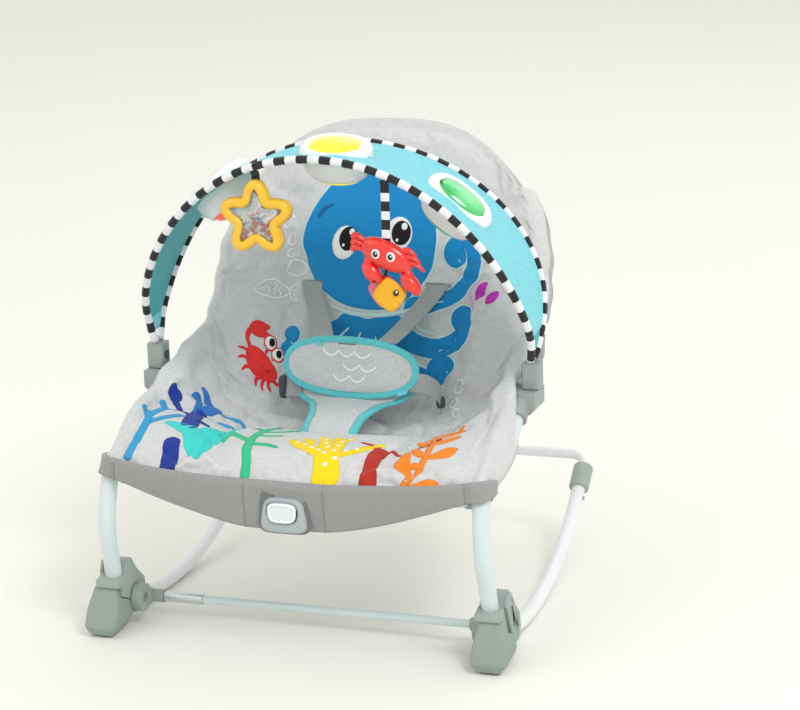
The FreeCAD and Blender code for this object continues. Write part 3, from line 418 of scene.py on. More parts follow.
def platedSteel(name, tone, roughness):
    # bright zinc on steel: fine turning marks and a little unevenness in the shine
    material, tree, shader = newMaterial(name)
    where = addNode(tree, "ShaderNodeTexCoord").outputs["Object"]
    marks = addNode(tree, "ShaderNodeTexNoise", inputs={"Vector": where, "Scale": 900.0, "Detail": 2.0})
    shader.inputs["Base Color"].default_value = linear(tone)
    shader.inputs["Metallic"].default_value = 1.0
    rough = addNode(tree, "ShaderNodeMapRange", inputs={"Value": marks.outputs["Fac"],
                    "To Min": roughness - 0.06, "To Max": roughness + 0.12})
    tree.links.new(rough.outputs["Result"], shader.inputs["Roughness"])
    bumpInto(tree, shader, marks.outputs["Fac"], 0.1, 0.00008)
    return material


def wovenCloth(name, light, dark, thread, slub=0.0, sheen=0.25, roughness=0.85, puckers=0.0, placed=True):
    # woven or knitted polyester: threads of the given spacing in mm, drawn coarse enough to show.
    # slub is the share of darker fibres that run across as short streaks, as in a heather yarn.
    material, tree, shader = newMaterial(name)
    if placed:
        where = addNode(tree, "ShaderNodeAttribute", {"attribute_name": "clothPlace"}).outputs["Vector"]
    else:
        where = addNode(tree, "ShaderNodeTexCoord").outputs["Object"]
    wave = 0.314 / (thread * mm)   # a wave texture of this scale repeats each thread
    warp = addNode(tree, "ShaderNodeTexWave", {"wave_type": "BANDS", "bands_direction": "X"},
                   {"Vector": where, "Scale": wave, "Distortion": 0.6, "Detail": 1.0})
    weft = addNode(tree, "ShaderNodeTexWave", {"wave_type": "BANDS", "bands_direction": "Y"},
                   {"Vector": where, "Scale": wave, "Distortion": 0.6, "Detail": 1.0})
    web = addNode(tree, "ShaderNodeMath", {"operation": "MULTIPLY"},
                  {0: warp.outputs["Fac"], 1: weft.outputs["Fac"]}).outputs["Value"]
    along = addNode(tree, "ShaderNodeMapping", inputs={"Vector": where, "Scale": (70.0, 900.0, 300.0)})
    down = addNode(tree, "ShaderNodeMapping", inputs={"Vector": where, "Scale": (900.0, 110.0, 300.0)})
    streak = addNode(tree, "ShaderNodeTexNoise",
                     inputs={"Vector": along.outputs["Vector"], "Scale": 1.0, "Detail": 3.0})
    cross = addNode(tree, "ShaderNodeTexNoise",
                    inputs={"Vector": down.outputs["Vector"], "Scale": 1.0, "Detail": 3.0})
    fibres = addNode(tree, "ShaderNodeMath", {"operation": "ADD"},
                     {0: streak.outputs["Fac"], 1: cross.outputs["Fac"]}).outputs["Value"]
    tone = addNode(tree, "ShaderNodeMapRange",
                   inputs={"Value": fibres, "From Min": 0.72, "From Max": 1.28,
                   "To Min": 0.5 - slub, "To Max": 0.5 + slub})
    shade = addNode(tree, "ShaderNodeMath", {"operation": "MULTIPLY_ADD", "use_clamp": True},
                    {0: web, 1: 0.35, 2: tone.outputs["Result"]}).outputs["Value"]
    tree.links.new(twoTone(tree, shade, dark, light), shader.inputs["Base Color"])
    shader.inputs["Roughness"].default_value = roughness
    shader.inputs["IOR"].default_value = 1.45
    shader.inputs["Specular IOR Level"].default_value = 0.25
    shader.inputs["Sheen Weight"].default_value = sheen
    shader.inputs["Sheen Roughness"].default_value = 0.5
    height = web
    if puckers:
        soft = addNode(tree, "ShaderNodeTexNoise", inputs={"Vector": where, "Scale": 38.0, "Detail": 2.0,
                       "Distortion": 0.4})
        height = addNode(tree, "ShaderNodeMath", {"operation": "MULTIPLY_ADD"},
                         {0: soft.outputs["Fac"], 1: puckers, 2: web}).outputs["Value"]
    bumpInto(tree, shader, height, 0.35, 0.0004)
    return material


def printInk(name, tone, dark=None, roughness=0.7):
    # pigment print on cloth: matt, with the threads still showing through it
    return wovenCloth(name, tone, dark or tone, 1.3, slub=0.12, sheen=0.1, roughness=roughness)


def paintedGlowLens(name, edge, paintedGlow, strength):
    # tinted polycarbonate dome over a light: deep colour at its rim; its bright middle and highlight are painted
    # light, an emission that grows towards a spot a little off the dome's middle
    material, tree, shader = newMaterial(name)
    where = addNode(tree, "ShaderNodeTexCoord").outputs["Object"]
    haze = addNode(tree, "ShaderNodeTexNoise", inputs={"Vector": where, "Scale": 60.0, "Detail": 1.0})
    paintedHighlight = addNode(tree, "ShaderNodeAttribute", {"attribute_name": "paintedGlow"}).outputs["Fac"]
    deep = addNode(tree, "ShaderNodeMath", {"operation": "MULTIPLY_ADD", "use_clamp": True},
                   {0: haze.outputs["Fac"], 1: 0.3, 2: paintedHighlight}).outputs["Value"]
    shader.inputs["Base Color"].default_value = linear(edge)
    shader.inputs["Roughness"].default_value = 0.12
    shader.inputs["IOR"].default_value = 1.586
    shader.inputs["Coat Weight"].default_value = 0.8
    shader.inputs["Coat Roughness"].default_value = 0.04
    # the emission is painted light: the dome's bright middle and its highlight
    tree.links.new(twoTone(tree, deep, edge, paintedGlow), shader.inputs["Emission Color"])
    shader.inputs["Emission Strength"].default_value = strength
    return material


def clearShell(name, tint):
    # clear polystyrene window with a trace of haze
    material, tree, shader = newMaterial(name)
    where = addNode(tree, "ShaderNodeTexCoord").outputs["Object"]
    haze = addNode(tree, "ShaderNodeTexNoise", inputs={"Vector": where, "Scale": 200.0, "Detail": 1.0})
    shader.inputs["Base Color"].default_value = linear(tint)
    rough = addNode(tree, "ShaderNodeMapRange",
                    inputs={"Value": haze.outputs["Fac"], "To Min": 0.03, "To Max": 0.1})
    tree.links.new(rough.outputs["Result"], shader.inputs["Roughness"])
    shader.inputs["IOR"].default_value = 1.55
    shader.inputs["Transmission Weight"].default_value = 0.92
    return material


heather = wovenCloth("heather polyester, woven, light grey", "#DCDDDE", "#C2C3C5", 1.3, slub=0.45,
                     puckers=0.8)
heatherBack = wovenCloth("lining polyester, plain woven, grey", "#B9BABC", "#A2A3A6", 1.4, slub=0.3)
skirtCloth = wovenCloth("oxford polyester, woven, mid grey", "#A3A3A3", "#8C8C8D", 1.2, slub=0.25)
padCloth = wovenCloth("heather jersey, knitted, cool grey", "#D4D8D9", "#BABFC2", 1.3, slub=0.5,
                      puckers=0.5)
aquaTape = wovenCloth("polyester binding tape, woven, aqua", "#74D6DC", "#3DB4BC", 1.5, slub=0.3)
aquaCloth = wovenCloth("polyester tricot, knitted, aqua", "#8CDBE6", "#5CC0D0", 1.4, slub=0.35,
                       puckers=0.3)
tealCloth = wovenCloth("polyester tricot, knitted, teal", "#3FB9BE", "#1B9AA2", 1.4, slub=0.3)
webbing = wovenCloth("polyester webbing, woven, grey", "#ABB0B0", "#959A9B", 1.6, slub=0.2)
stripeDark = wovenCloth("piping cloth, woven, black", "#303033", "#202023", 1.2, slub=0.3, placed=False)
stripeLight = wovenCloth("piping cloth, woven, white", "#F2F3F6", "#D9DBE0", 1.2, slub=0.3, placed=False)
threadGrey = wovenCloth("sewing thread, spun polyester, grey", "#8F9093", "#7E7F82", 0.8, placed=False)
powderIce = powderCoat("powder coat on steel, baked, ice blue", "#DCE7E9", "#CBD8DB")
powderWhite = powderCoat("powder coat on steel, baked, white", "#F1F2F5", "#E4E6EA")
footPlastic = mouldedPlastic("polypropylene, moulded, grey green", "#A5AFAA", "#98A39E", 0.42)
footRubber = mouldedPlastic("thermoplastic rubber, moulded, grey green", "#9AA5A0", "#8B9792", 0.62,
                            grain=0.9)
hubPlastic = mouldedPlastic("nylon, moulded, mid grey", "#A0A5A5", "#929797", 0.45)
unitPlastic = mouldedPlastic("ABS, moulded, blue grey", "#B4BBC0", "#A8AFB4", 0.4)
whitePlastic = mouldedPlastic("ABS, moulded and polished, white", "#F7F8F9", "#ECEEEF", 0.22, clear=0.4)
buttonPlastic = mouldedPlastic("ABS, moulded, soft white", "#E9ECEE", "#DDE1E4", 0.3, clear=0.2)
darkPlastic = mouldedPlastic("acetal, moulded, dark grey", "#4A4C4E", "#38393B", 0.4)
blackPlastic = mouldedPlastic("ABS, moulded and polished, black", "#18181A", "#101012", 0.15, clear=0.6)
yellowPlastic = mouldedPlastic("ABS, moulded and polished, warm yellow", "#F9C92A", "#F0B518", 0.2,
                               clear=0.6)
redPlastic = mouldedPlastic("ABS, moulded and polished, red", "#F4382C", "#E3261E", 0.2, clear=0.7)
pinkRubber = mouldedPlastic("silicone, moulded, pink", "#EE7F9C", "#E46C8C", 0.4)
yellowRubber = mouldedPlastic("silicone, moulded, yellow", "#F7BA1D", "#ECA910", 0.38)
orangePlastic = mouldedPlastic("ABS, moulded, orange", "#F07A28", "#E26A1C", 0.22, clear=0.5)
boardGreen = mouldedPlastic("epoxy glass, lacquered, green", "#1E6B35", "#175529", 0.35)
zincScrew = platedSteel("steel, zinc plated, screw", "#B9BCBE", 0.3)
zincSleeve = platedSteel("steel, nickel plated, sleeve", "#D2D5D8", 0.22)
cellCan = platedSteel("steel, drawn, battery can", "#A7A9AC", 0.28)
lensYellow = paintedGlowLens("polycarbonate, moulded, yellow tint", "#D9D000", "#FFFF6A", 0.75)
lensGreen = paintedGlowLens("polycarbonate, moulded, green tint", "#0B9A45", "#B9FBC8", 0.6)
lensRed = paintedGlowLens("polycarbonate, moulded, orange tint", "#E2402A", "#FF9A5E", 0.5)
clearWindow = clearShell("polystyrene, moulded, clear", "#F4F6F4")
print("materials made:", len(bpy.data.materials))

slotFinish = {
    "leg_paint": powderIce, "tube_white": powderWhite, "wire_paint": powderIce, "grey_green": footPlastic,
    "soft_grip": footRubber, "case_blue": unitPlastic, "white_plastic": whitePlastic,
    "screw_steel": zincScrew, "plated_steel": zincSleeve, "cell_can": cellCan, "board_green": boardGreen,
    "dark_plastic": darkPlastic, "fabric_grey": heather, "fabric_skirt": skirtCloth,
    "fabric_pad": padCloth, "fabric_teal": aquaCloth, "webbing": webbing, "striped_cord": stripeLight,
    "strap_striped": stripeDark, "lens_red": lensRed, "lens_yellow": lensYellow,
    "lens_green": lensGreen, "toy_yellow": yellowPlastic, "toy_clear": clearWindow,
    "toy_red": redPlastic, "teether_soft": yellowRubber,
}
nodeSlot = {row["node"]: row["material_slot"] for row in frame["record"]["subparts"]}
softEdge = {   # mm of rounding on the edges of each moulding
    "soft_foot_left": 5.0, "soft_foot_right": 5.0, "foot_housing_left": 3.0, "foot_housing_right": 3.0,
    "foot_covers": 1.0, "recline_hub_left": 3.0, "recline_hub_right": 3.0, "toy_bar_end_left": 1.6,
    "toy_bar_end_right": 1.6, "recline_arm_left": 2.0, "recline_arm_right": 2.0, "kickstand_hubs": 1.6,
    "bow_brackets": 1.0,
}
hubNodes = ("recline_hub_left", "recline_hub_right", "toy_bar_end_left", "toy_bar_end_right",
            "recline_arm_left", "recline_arm_right")


def finishNodes():
    for name, node in nodes.items():
        node.data.materials.clear()
        node.data.materials.append(hubPlastic if name in hubNodes else slotFinish[nodeSlot[name]])
        if name not in softEdge:
            continue
        weld = node.modifiers.new("one skin", "WELD")
        weld.merge_threshold = 0.00002
        edge = node.modifiers.new("moulded edge", "BEVEL")
        edge.width = softEdge[name] * mm
        edge.segments = 4
        edge.limit_method = "ANGLE"
        edge.angle_limit = math.radians(28)
        edge.harden_normals = False
        node.data.polygons.foreach_set("use_smooth", np.ones(len(node.data.polygons), bool))


finishNodes()


backrest = {
    "lean": 25.7,            # degrees from upright
    "footStation": 215.4,    # lower edge of the back's middle plane
    "footHeight": 215.0,
    # the back tube's right half, as (across, distance up the back)
    "tube": ((195.5, 80), (195.5, 130), (194.5, 180), (184, 218), (155, 258), (118, 288), (80, 304),
             (40, 309),
             (0, 310)),
    "tubeBack": 30.0,        # the cover's depth behind the middle plane where it holds the tube
}


def upBack(distance, behind=0.0, x=0.0):
    lean = math.radians(backrest["lean"])
    y = backrest["footStation"] + distance * math.sin(lean) + behind * math.cos(lean)
    z = backrest["footHeight"] + distance * math.cos(lean) - behind * math.sin(lean)
    return np.array([x, y, z])


sling = {
    "front": -8.0,           # the cover's front face from the back's middle plane
    "padding": 13.0,
    "sideCloth": 3.2,
    "step": 6.5,             # cloth simulation grid
    "pressure": 5.0,
    "slack": 0.05,
    "mostPuff": 8.0,
    "seamDepth": 3.0,
    # seat rows from the front seam rearwards: middle (station, height), half width inside the wall,
    # crest of the side (across, station, height), hem outside it, and how square the trough is
    "seatRows": (
        ((-37, 187), 206, (214, -25, 190), (222, -19, 188), 6),
        ((-35, 196), 206, (214, -24, 198), (224, -16, 190), 6),
        ((-27, 205), 206, (214, -19, 207), (225, -8, 191), 5),
        ((-10, 211), 206, (215, -6, 217), (225.5, 4, 192), 4.5),
        ((14, 214), 206, (215.5, 14, 229), (226, 22, 194), 4),
        ((40, 214.5), 206, (215.5, 38, 240), (226, 46, 199), 4),
        ((66, 212.5), 205.5, (215, 66, 250), (226, 74, 206), 4),
        ((92, 207.5), 203, (213, 92, 257), (224, 100, 219), 4.2),
        ((120, 199.5), 197, (208, 118, 268), (215, 121, 261), 4.5),
        ((150, 192), 192.5, (203.5, 142, 277), (209, 144, 270), 5),
        ((176, 190), 192, (203, 166, 283), (208.5, 168, 275), 5),
        ((197, 197), 192, (203, 188, 289), (208.5, 191, 279), 5),
        ((209, 213), 192.5, (203.5, 208, 295), (209, 211, 285), 5),
    ),
    # back rows: distance up the back in the middle, half width, distance up at the edge, roundness
    "backRows": (
        (32, 203.5, 92, 4), (62, 204, 104, 4), (94, 204.5, 116, 3), (124, 204.5, 132, 2.5),
        (155, 204, 150, 2), (188, 203, 168, 2), (222, 201, 187, 2), (256, 197, 207, 2.2),
        (288, 191.5, 228, 2.4), (316, 185, 246, 2.6), (346, 174, 266, 2.9),
    ),
}
lateral = (0, 0.12, 0.24, 0.36, 0.48, 0.6, 0.7, 0.79, 0.87, 0.94, 1.0)


def slingControl():
    rows = []
    for (yc, zc), wall, crest, hem, square in sling["seatRows"]:
        row = []
        for s in lateral:
            row.append((wall * s, mix(yc, crest[1], s * s), mix(zc, crest[2] - 5, s ** square)))
        rise = np.array(crest) - np.array(row[-1])
        row.append(tuple(np.array(row[-1]) + rise * (0.55, 0.6, 0.8)))
        row.append(crest)
        row.append(tuple(mix(np.array(crest), np.array(hem), 0.35) + (2.0, 0, 1.5)))
        row.append(hem)
        rows.append(row)
    for middle, half, edge, roundness in sling["backRows"]:
        row = []
        flat = ease(30, 130, middle)
        for s in lateral:
            distance = mix(middle, edge, s ** roundness)
            row.append(tuple(upBack(distance, sling["front"] - 7 * (1 - flat) * s ** 6, (half - 8) * s)))
        near = mix(-13.0, -3.0, flat)
        row.append(tuple(upBack(edge, near - 3, half - 4)))
        row.append(tuple(upBack(edge, near + 2, half)))
        row.append(tuple(upBack(edge + 1, near + 7, half + 2.5)))
        row.append(tuple(upBack(edge + 2, near + 15, half + 3)))
        rows.append(row)
    right = np.array(rows, float)
    left = right[:, :0:-1] * (-1, 1, 1)
    return np.concatenate([left, right], axis=1)


def gridSurface(control, step):
    # the control sheet made even: rows and columns about a step apart
    middle = lengthAlong(control[:, control.shape[1] // 2])
    across = lengthAlong(control[len(control) // 2])
    rows = int(middle[-1] / step)
    columns = 2 * int(across[-1] / step / 2) + 1
    fine = splineThrough(control, np.linspace(0, 1, rows))
    fine = splineThrough(np.swapaxes(fine, 0, 1), np.linspace(0, 1, columns))
    return np.swapaxes(fine, 0, 1)


def gridNormals(grid):
    down = np.gradient(grid, axis=0)
    across = np.gradient(grid, axis=1)
    normal = np.cross(across, down)
    return normal / np.maximum(np.linalg.norm(normal, axis=2)[..., None], 1e-9)


def gridPlaces(grid):
    # flat place of each grid point: distance across from the middle, and distance from the front seam
    middle = grid.shape[1] // 2
    along = lengthAlong(grid[:, middle])
    steps = np.linalg.norm(grid[:, 1:] - grid[:, :-1], axis=2)
    across = np.concatenate([np.zeros((len(grid), 1)), np.cumsum(steps, axis=1)], axis=1)
    across -= across[:, middle:middle + 1]
    return np.stack([across, np.repeat(along[:, None], grid.shape[1], 1)], axis=2)


def lineDistance(places, line):
    # distance of each flat place from a line of given points
    best = np.full(places.shape[:-1], 1e9)
    line = np.asarray(line, float)
    for a, b in zip(line, line[1:]):
        run = b - a
        t = np.clip(((places - a) @ run) / (run @ run), 0, 1)
        best = np.minimum(best, np.linalg.norm(places - (a + t[..., None] * run), axis=-1))
    return best


slingGrid = gridSurface(slingControl(), sling["step"])
slingPlaces = gridPlaces(slingGrid)
seatRow = np.argmax(slingGrid[:, slingGrid.shape[1] // 2, 1] > backrest["footStation"] - 6)
# flat distance from the front seam to the foot of the back
backZero = float(slingPlaces[seatRow, 0, 1]) - 8.0
seams = (   # sewn lines in flat places: (across, from the front seam)
    ((-190, backZero + 4), (-80, backZero - 8), (0, backZero - 10), (80, backZero - 8),
     (190, backZero + 4)),
    ((-112, 30), (-106, 120), (-118, 200)),
    ((112, 30), (106, 120), (118, 200)),
    ((-190, backZero + 160), (-112, backZero + 166), (-96, backZero + 176)),
    ((190, backZero + 160), (112, backZero + 166), (96, backZero + 176)),
    ((-112, backZero + 166), (-104, backZero + 60), (-96, backZero + 6)),
    ((112, backZero + 166), (104, backZero + 60), (96, backZero + 6)),
    ((-112, backZero + 250), (-168, backZero + 296)),
    ((112, backZero + 250), (168, backZero + 296)),
)


def seamPress(places):
    near = np.full(places.shape[:-1], 1e9)
    for line in seams:
        near = np.minimum(near, lineDistance(places, line))
    return near


def wrinkles(places):
    # shallow pull lines in the cloth, in mm
    u, v = places[..., 0], places[..., 1]
    rays = np.sin(u / 17.0 + 1.3 * np.sin(v / 46.0)) * np.exp(-((v - 16) / 30.0) ** 2) * 0.9
    fold = np.sin(u / 11.0 + 0.8 * np.sin(u / 31.0)) * np.exp(-((v - backZero) / 26.0) ** 2) * 1.3
    sides = np.sin(v / 13.0 + 1.1 * np.sin(v / 37.0)) * ease(140, 200, np.abs(u)) * 1.1
    broad = np.sin(u / 41.0 + v / 57.0) * np.sin(v / 33.0 - u / 71.0) * 0.9
    return rays + fold + sides + broad


def puffedSling():
    grid = slingGrid.copy()
    rows, columns = grid.shape[:2]
    near = seamPress(slingPlaces)
    inner = np.abs(np.linspace(-1, 1, columns)) < 0.86
    press = sling["seamDepth"] * np.exp(-(near / 5.0) ** 2) * inner[None, :]
    grid = grid - gridNormals(grid) * press[..., None]
    held = (near < sling["step"] * 0.62) | ~inner[None, :]
    held[:2] = True
    held[-3:] = True
    moved = puff(grid.reshape(-1, 3), gridFaces(rows, columns), held.ravel(),
                 sling["pressure"], sling["slack"], sling["mostPuff"])
    grid = grid + moved.reshape(grid.shape)
    fine = splineThrough(grid, np.linspace(0, 1, 2 * rows))
    fine = np.swapaxes(splineThrough(np.swapaxes(fine, 0, 1), np.linspace(0, 1, 2 * columns - 1)), 0, 1)
    flat = splineThrough(slingPlaces, np.linspace(0, 1, 2 * rows))
    flat = np.swapaxes(splineThrough(np.swapaxes(flat, 0, 1), np.linspace(0, 1, 2 * columns - 1)), 0, 1)
    fine = fine + gridNormals(fine) * wrinkles(flat)[..., None]
    return fine, flat


def slingUnderside(top):
    # the lining: close behind the seat, and round the tube behind the back
    rows, columns = top.shape[:2]
    normal = gridNormals(top)
    side = np.abs(np.linspace(-1, 1, columns))[None, :, None]
    row = np.linspace(0, 1, rows)[:, None, None]
    thick = mix(sling["padding"], sling["sideCloth"], ease(0.74, 0.88, side))
    thick = thick * mix(0.4, 1.0, ease(0.0, 0.03, row))
    near = top - normal * thick
    lean = math.radians(backrest["lean"])
    rear = np.array([0, math.cos(lean), -math.sin(lean)])
    foot = np.array([0, backrest["footStation"], backrest["footHeight"]])
    behind = (top - foot) @ rear
    distance = (top - foot) @ np.array([0, math.sin(lean), math.cos(lean)])
    spot = np.stack([np.abs(top[..., 0]), distance], axis=2)
    roll = ease(27, 13, lineDistance(spot, backrest["tube"])) * ease(100, 122, distance)
    depth = mix(8.0, backrest["tubeBack"], roll)
    far = top + rear[None, None, :] * (depth - behind)[..., None]
    share = ease(0.45, 0.62, row)
    return mix(near, far, share)


def closedGrid(top, bottom):
    rows, columns = top.shape[:2]
    count = rows * columns
    faces = gridFaces(rows, columns)
    faces += [tuple(reversed(face)) for face in gridFaces(rows, columns, first=count)]
    rim = [j for j in range(columns)]
    rim += [i * columns + columns - 1 for i in range(1, rows)]
    rim += [(rows - 1) * columns + j for j in range(columns - 2, -1, -1)]
    rim += [i * columns for i in range(rows - 2, 0, -1)]
    for a, b in zip(rim, rim[1:] + rim[:1]):
        faces.append((b, a, a + count, b + count))
    return np.concatenate([top.reshape(-1, 3), bottom.reshape(-1, 3)]), faces


slingTop, slingFlat = puffedSling()


def blendSling(piece):
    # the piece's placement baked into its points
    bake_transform(piece)


def makeSling():
    points, faces = closedGrid(slingTop, slingUnderside(slingTop))
    topFaces = (slingTop.shape[0] - 1) * (slingTop.shape[1] - 1)
    picks = np.ones(len(faces), int)
    picks[:topFaces] = 0
    cover = outwards(makePiece("sling_cover", points, faces, [heather, heatherBack], picks))
    clothPlaces(cover, np.concatenate([slingFlat.reshape(-1, 2)] * 2))
    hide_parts("seat_cushion", "back_cushion")
    blendSling(cover)
    return cover


makeSling()


def makeBackTube():
    # the steel tube inside the back's rim; the cover holds it a little in from the seam
    right = np.array([upBack(d, 19.3, x) for x, d in backrest["tube"]])
    path = evenPath(np.concatenate([right * (-1, 1, 1), right[-2::-1]]), 5.0)
    points, faces = tubeMesh(path, 8.0, sides=24)
    tube = outwards(makePiece("back_tube_bent", points, faces, [powderWhite]))
    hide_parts("back_tube")
    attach(tube, "backrest")


makeBackTube()
print("sling made:", slingTop.shape[0] * slingTop.shape[1], "points on its face")


toyBar = {
    "blockAcross": 226.0,
    "blockStation": 150.0,
    "footHeight": 302.0,     # where the arches' curves start
    "crownHeight": 528.0,
    "front": (98.0, 367.0, 78.0, 20.0, 162.0),    # spread, rise, crown station, bulge, shoulder
    "rear": (261.0, 393.0, 204.0, 24.0, 153.0),
    "piping": 4.5,
    "stripe": 13.2,
    "footGap": 5.7,          # each arch's foot from the block's middle
    "start": 0.035,          # the band's ends, as a share of the way up the arch
    "crease": 1.1,
}


def archPoles(spread, rise, crown, bulge, shoulder):
    return np.array([(toyBar["blockAcross"], toyBar["blockStation"], toyBar["footHeight"]),
                     (toyBar["blockAcross"] + bulge, spread, rise),
                     (shoulder, crown, toyBar["crownHeight"]), (0.0, crown, toyBar["crownHeight"])])


def archCurve(poles, places):
    # places run from -1 on the left block over 0 at the crown to 1 on the right block
    t = 1 - np.abs(places)[:, None]
    s = 1 - t
    points = poles[0] * s ** 3 + poles[1] * 3 * s * s * t + poles[2] * 3 * s * t * t + poles[3] * t ** 3
    points[:, 0] *= np.where(places < 0, -1.0, 1.0)
    return points


frontPoles = archPoles(*toyBar["front"])
rearPoles = archPoles(*toyBar["rear"])


def makePiping(name, poles, lean, node):
    places = np.linspace(-1, 1, 241)
    path = archCurve(poles, places)
    foot = ease(0.9, 1.0, np.abs(places))
    path[:, 1] += lean * toyBar["footGap"] * foot
    path[:, 2] -= 4.0 * foot
    path = evenPath(path[::2], toyBar["stripe"] / 4)
    bumpy = toyBar["piping"] * (1 + 0.03 * np.sin(np.arange(len(path)) * math.pi / 2))
    points, faces = tubeMesh(path, bumpy, sides=14)
    steps = len(path) - 1
    picks = [(k // 14 // 4) % 2 for k in range(steps * 14)] + [0, 0]
    piece = outwards(makePiece(name, points, faces, [stripeLight, stripeDark], picks))
    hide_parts(node)
    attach(piece, "toy_bar")
    return piece


makePiping("front_piping", frontPoles, -1, "front_hoop")
makePiping("rear_piping", rearPoles, 1, "rear_hoop")


def makeBand():
    reach = 1 - toyBar["start"]
    places = np.linspace(-reach, reach, 170)
    front = archCurve(frontPoles, places)
    rear = archCurve(rearPoles, places)
    foot = ease(0.9, 1.0, np.abs(places))[:, None]
    front = front - foot * (0, toyBar["footGap"], 0)
    rear = rear + foot * (0, toyBar["footGap"], 0)
    width = rear - front
    gap = np.linalg.norm(width, axis=1)[:, None]
    along = np.gradient((front + rear) / 2, axis=0)
    out = np.cross(along, width)
    out /= np.linalg.norm(out, axis=1)[:, None]
    out *= np.sign(out[:, 2:3] + 1e-6)
    columns = 26
    across = np.linspace(0.02, 0.98, columns)
    run = lengthAlong((front + rear) / 2)
    sag = np.sin(math.pi * across)[None, :]
    crease = (np.sin(run / 9.5 + 1.4 * np.sin(run / 29.0))[:,
                                                           None] * (0.35 + np.abs(across - 0.5))[None,
                                                                                                 :] * 1.2
              + np.sin(run[:, None] / 21.0 + across[None, :] * 6.0) * 0.7)
    lift = toyBar["crease"] * crease * sag - 2.5 * sag * (gap / 120)
    middle = front[:, None, :] + width[:, None, :] * across[None, :, None]
    top = middle + out[:, None, :] * (lift + 1.2)[..., None]
    bottom = middle + out[:, None, :] * (lift - 0.2)[..., None]
    points, faces = closedGrid(top, bottom)
    upper = (len(places) - 1) * (columns - 1)
    picks = np.ones(len(faces), int)
    picks[:upper] = 0
    band = outwards(makePiece("toy_bar_fabric", points, faces, [aquaCloth, tealCloth], picks))
    flat = np.stack([np.repeat(run[:, None], columns, 1), across[None, :] * gap], axis=2)
    clothPlaces(band, np.concatenate([flat.reshape(-1, 2)] * 2))
    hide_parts("toy_bar_band")
    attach(band, "toy_bar")
    return band


makeBand()


def archFrame(place):
    # middle of the band and its directions along, across and out; place as in archCurve but 1 is the crown
    here = np.array([math.copysign(1 - abs(place), place)])
    step = 0.01
    front, rear = archCurve(frontPoles, here)[0], archCurve(rearPoles, here)[0]
    after = here - math.copysign(step, place)
    before = here + math.copysign(step, place)
    if abs(place) > 0.97:
        after, before = here + 0.03, here - 0.03
    along = (archCurve(frontPoles, after) + archCurve(rearPoles, after)
             - archCurve(frontPoles, before) - archCurve(rearPoles, before))[0]
    along /= np.linalg.norm(along)
    width = rear - front
    width /= np.linalg.norm(width)
    out = np.cross(along, width)
    out /= np.linalg.norm(out)
    if out[2] < 0:
        out = -out
    along = np.cross(width, out)
    return (front + rear) / 2, along, width, out


lightModule = {
    "places": (-0.655, 0.984, 0.62),
    "halfLength": 42.0, "halfWidth": 27.0,
    "ring": ((0.90, 0.90, 2.0), (1.0, 1.0, 2.2), (1.02, 1.02, 4.5), (0.98, 0.98, 8.5), (0.92, 0.91, 11.5),
             (0.85, 0.82, 13.2), (0.78, 0.745, 13.6), (0.73, 0.69, 12.6), (0.71, 0.66, 10.0),
             (0.71, 0.66, 7.5)),
    "bowl": ((0.71, 0.66, 2.0), (0.97, 0.95, 1.6), (0.99, 0.97, -3.0), (0.96, 0.94, -10.0),
             (0.89, 0.87, -19.0),
             (0.80, 0.78, -25.0), (0.76, 0.74, -26.6), (0.73, 0.71, -25.8), (0.72, 0.70, -22.0)),
    "dome": ((0.705, 0.655, 8.5), (0.695, 0.64, 11.0), (0.62, 0.56, 13.4), (0.48, 0.42, 15.4),
             (0.30, 0.26, 16.8),
             (0.12, 0.10, 17.4)),
    "lowLens": ((0.715, 0.695, -22.5), (0.70, 0.68, -27.0), (0.60, 0.58, -31.5), (0.40, 0.38, -34.6),
                (0.12, 0.11, -36.0)),
    "tilts": {"left": -6.0, "middle": 22.0, "right": 14.0},   # degrees towards the front
    "sunk": {"left": 3.0, "middle": 4.0, "right": 8.0},
}


def scaledRings(rings):
    return [(u * lightModule["halfLength"], v * lightModule["halfWidth"], h) for u, v, h in rings]


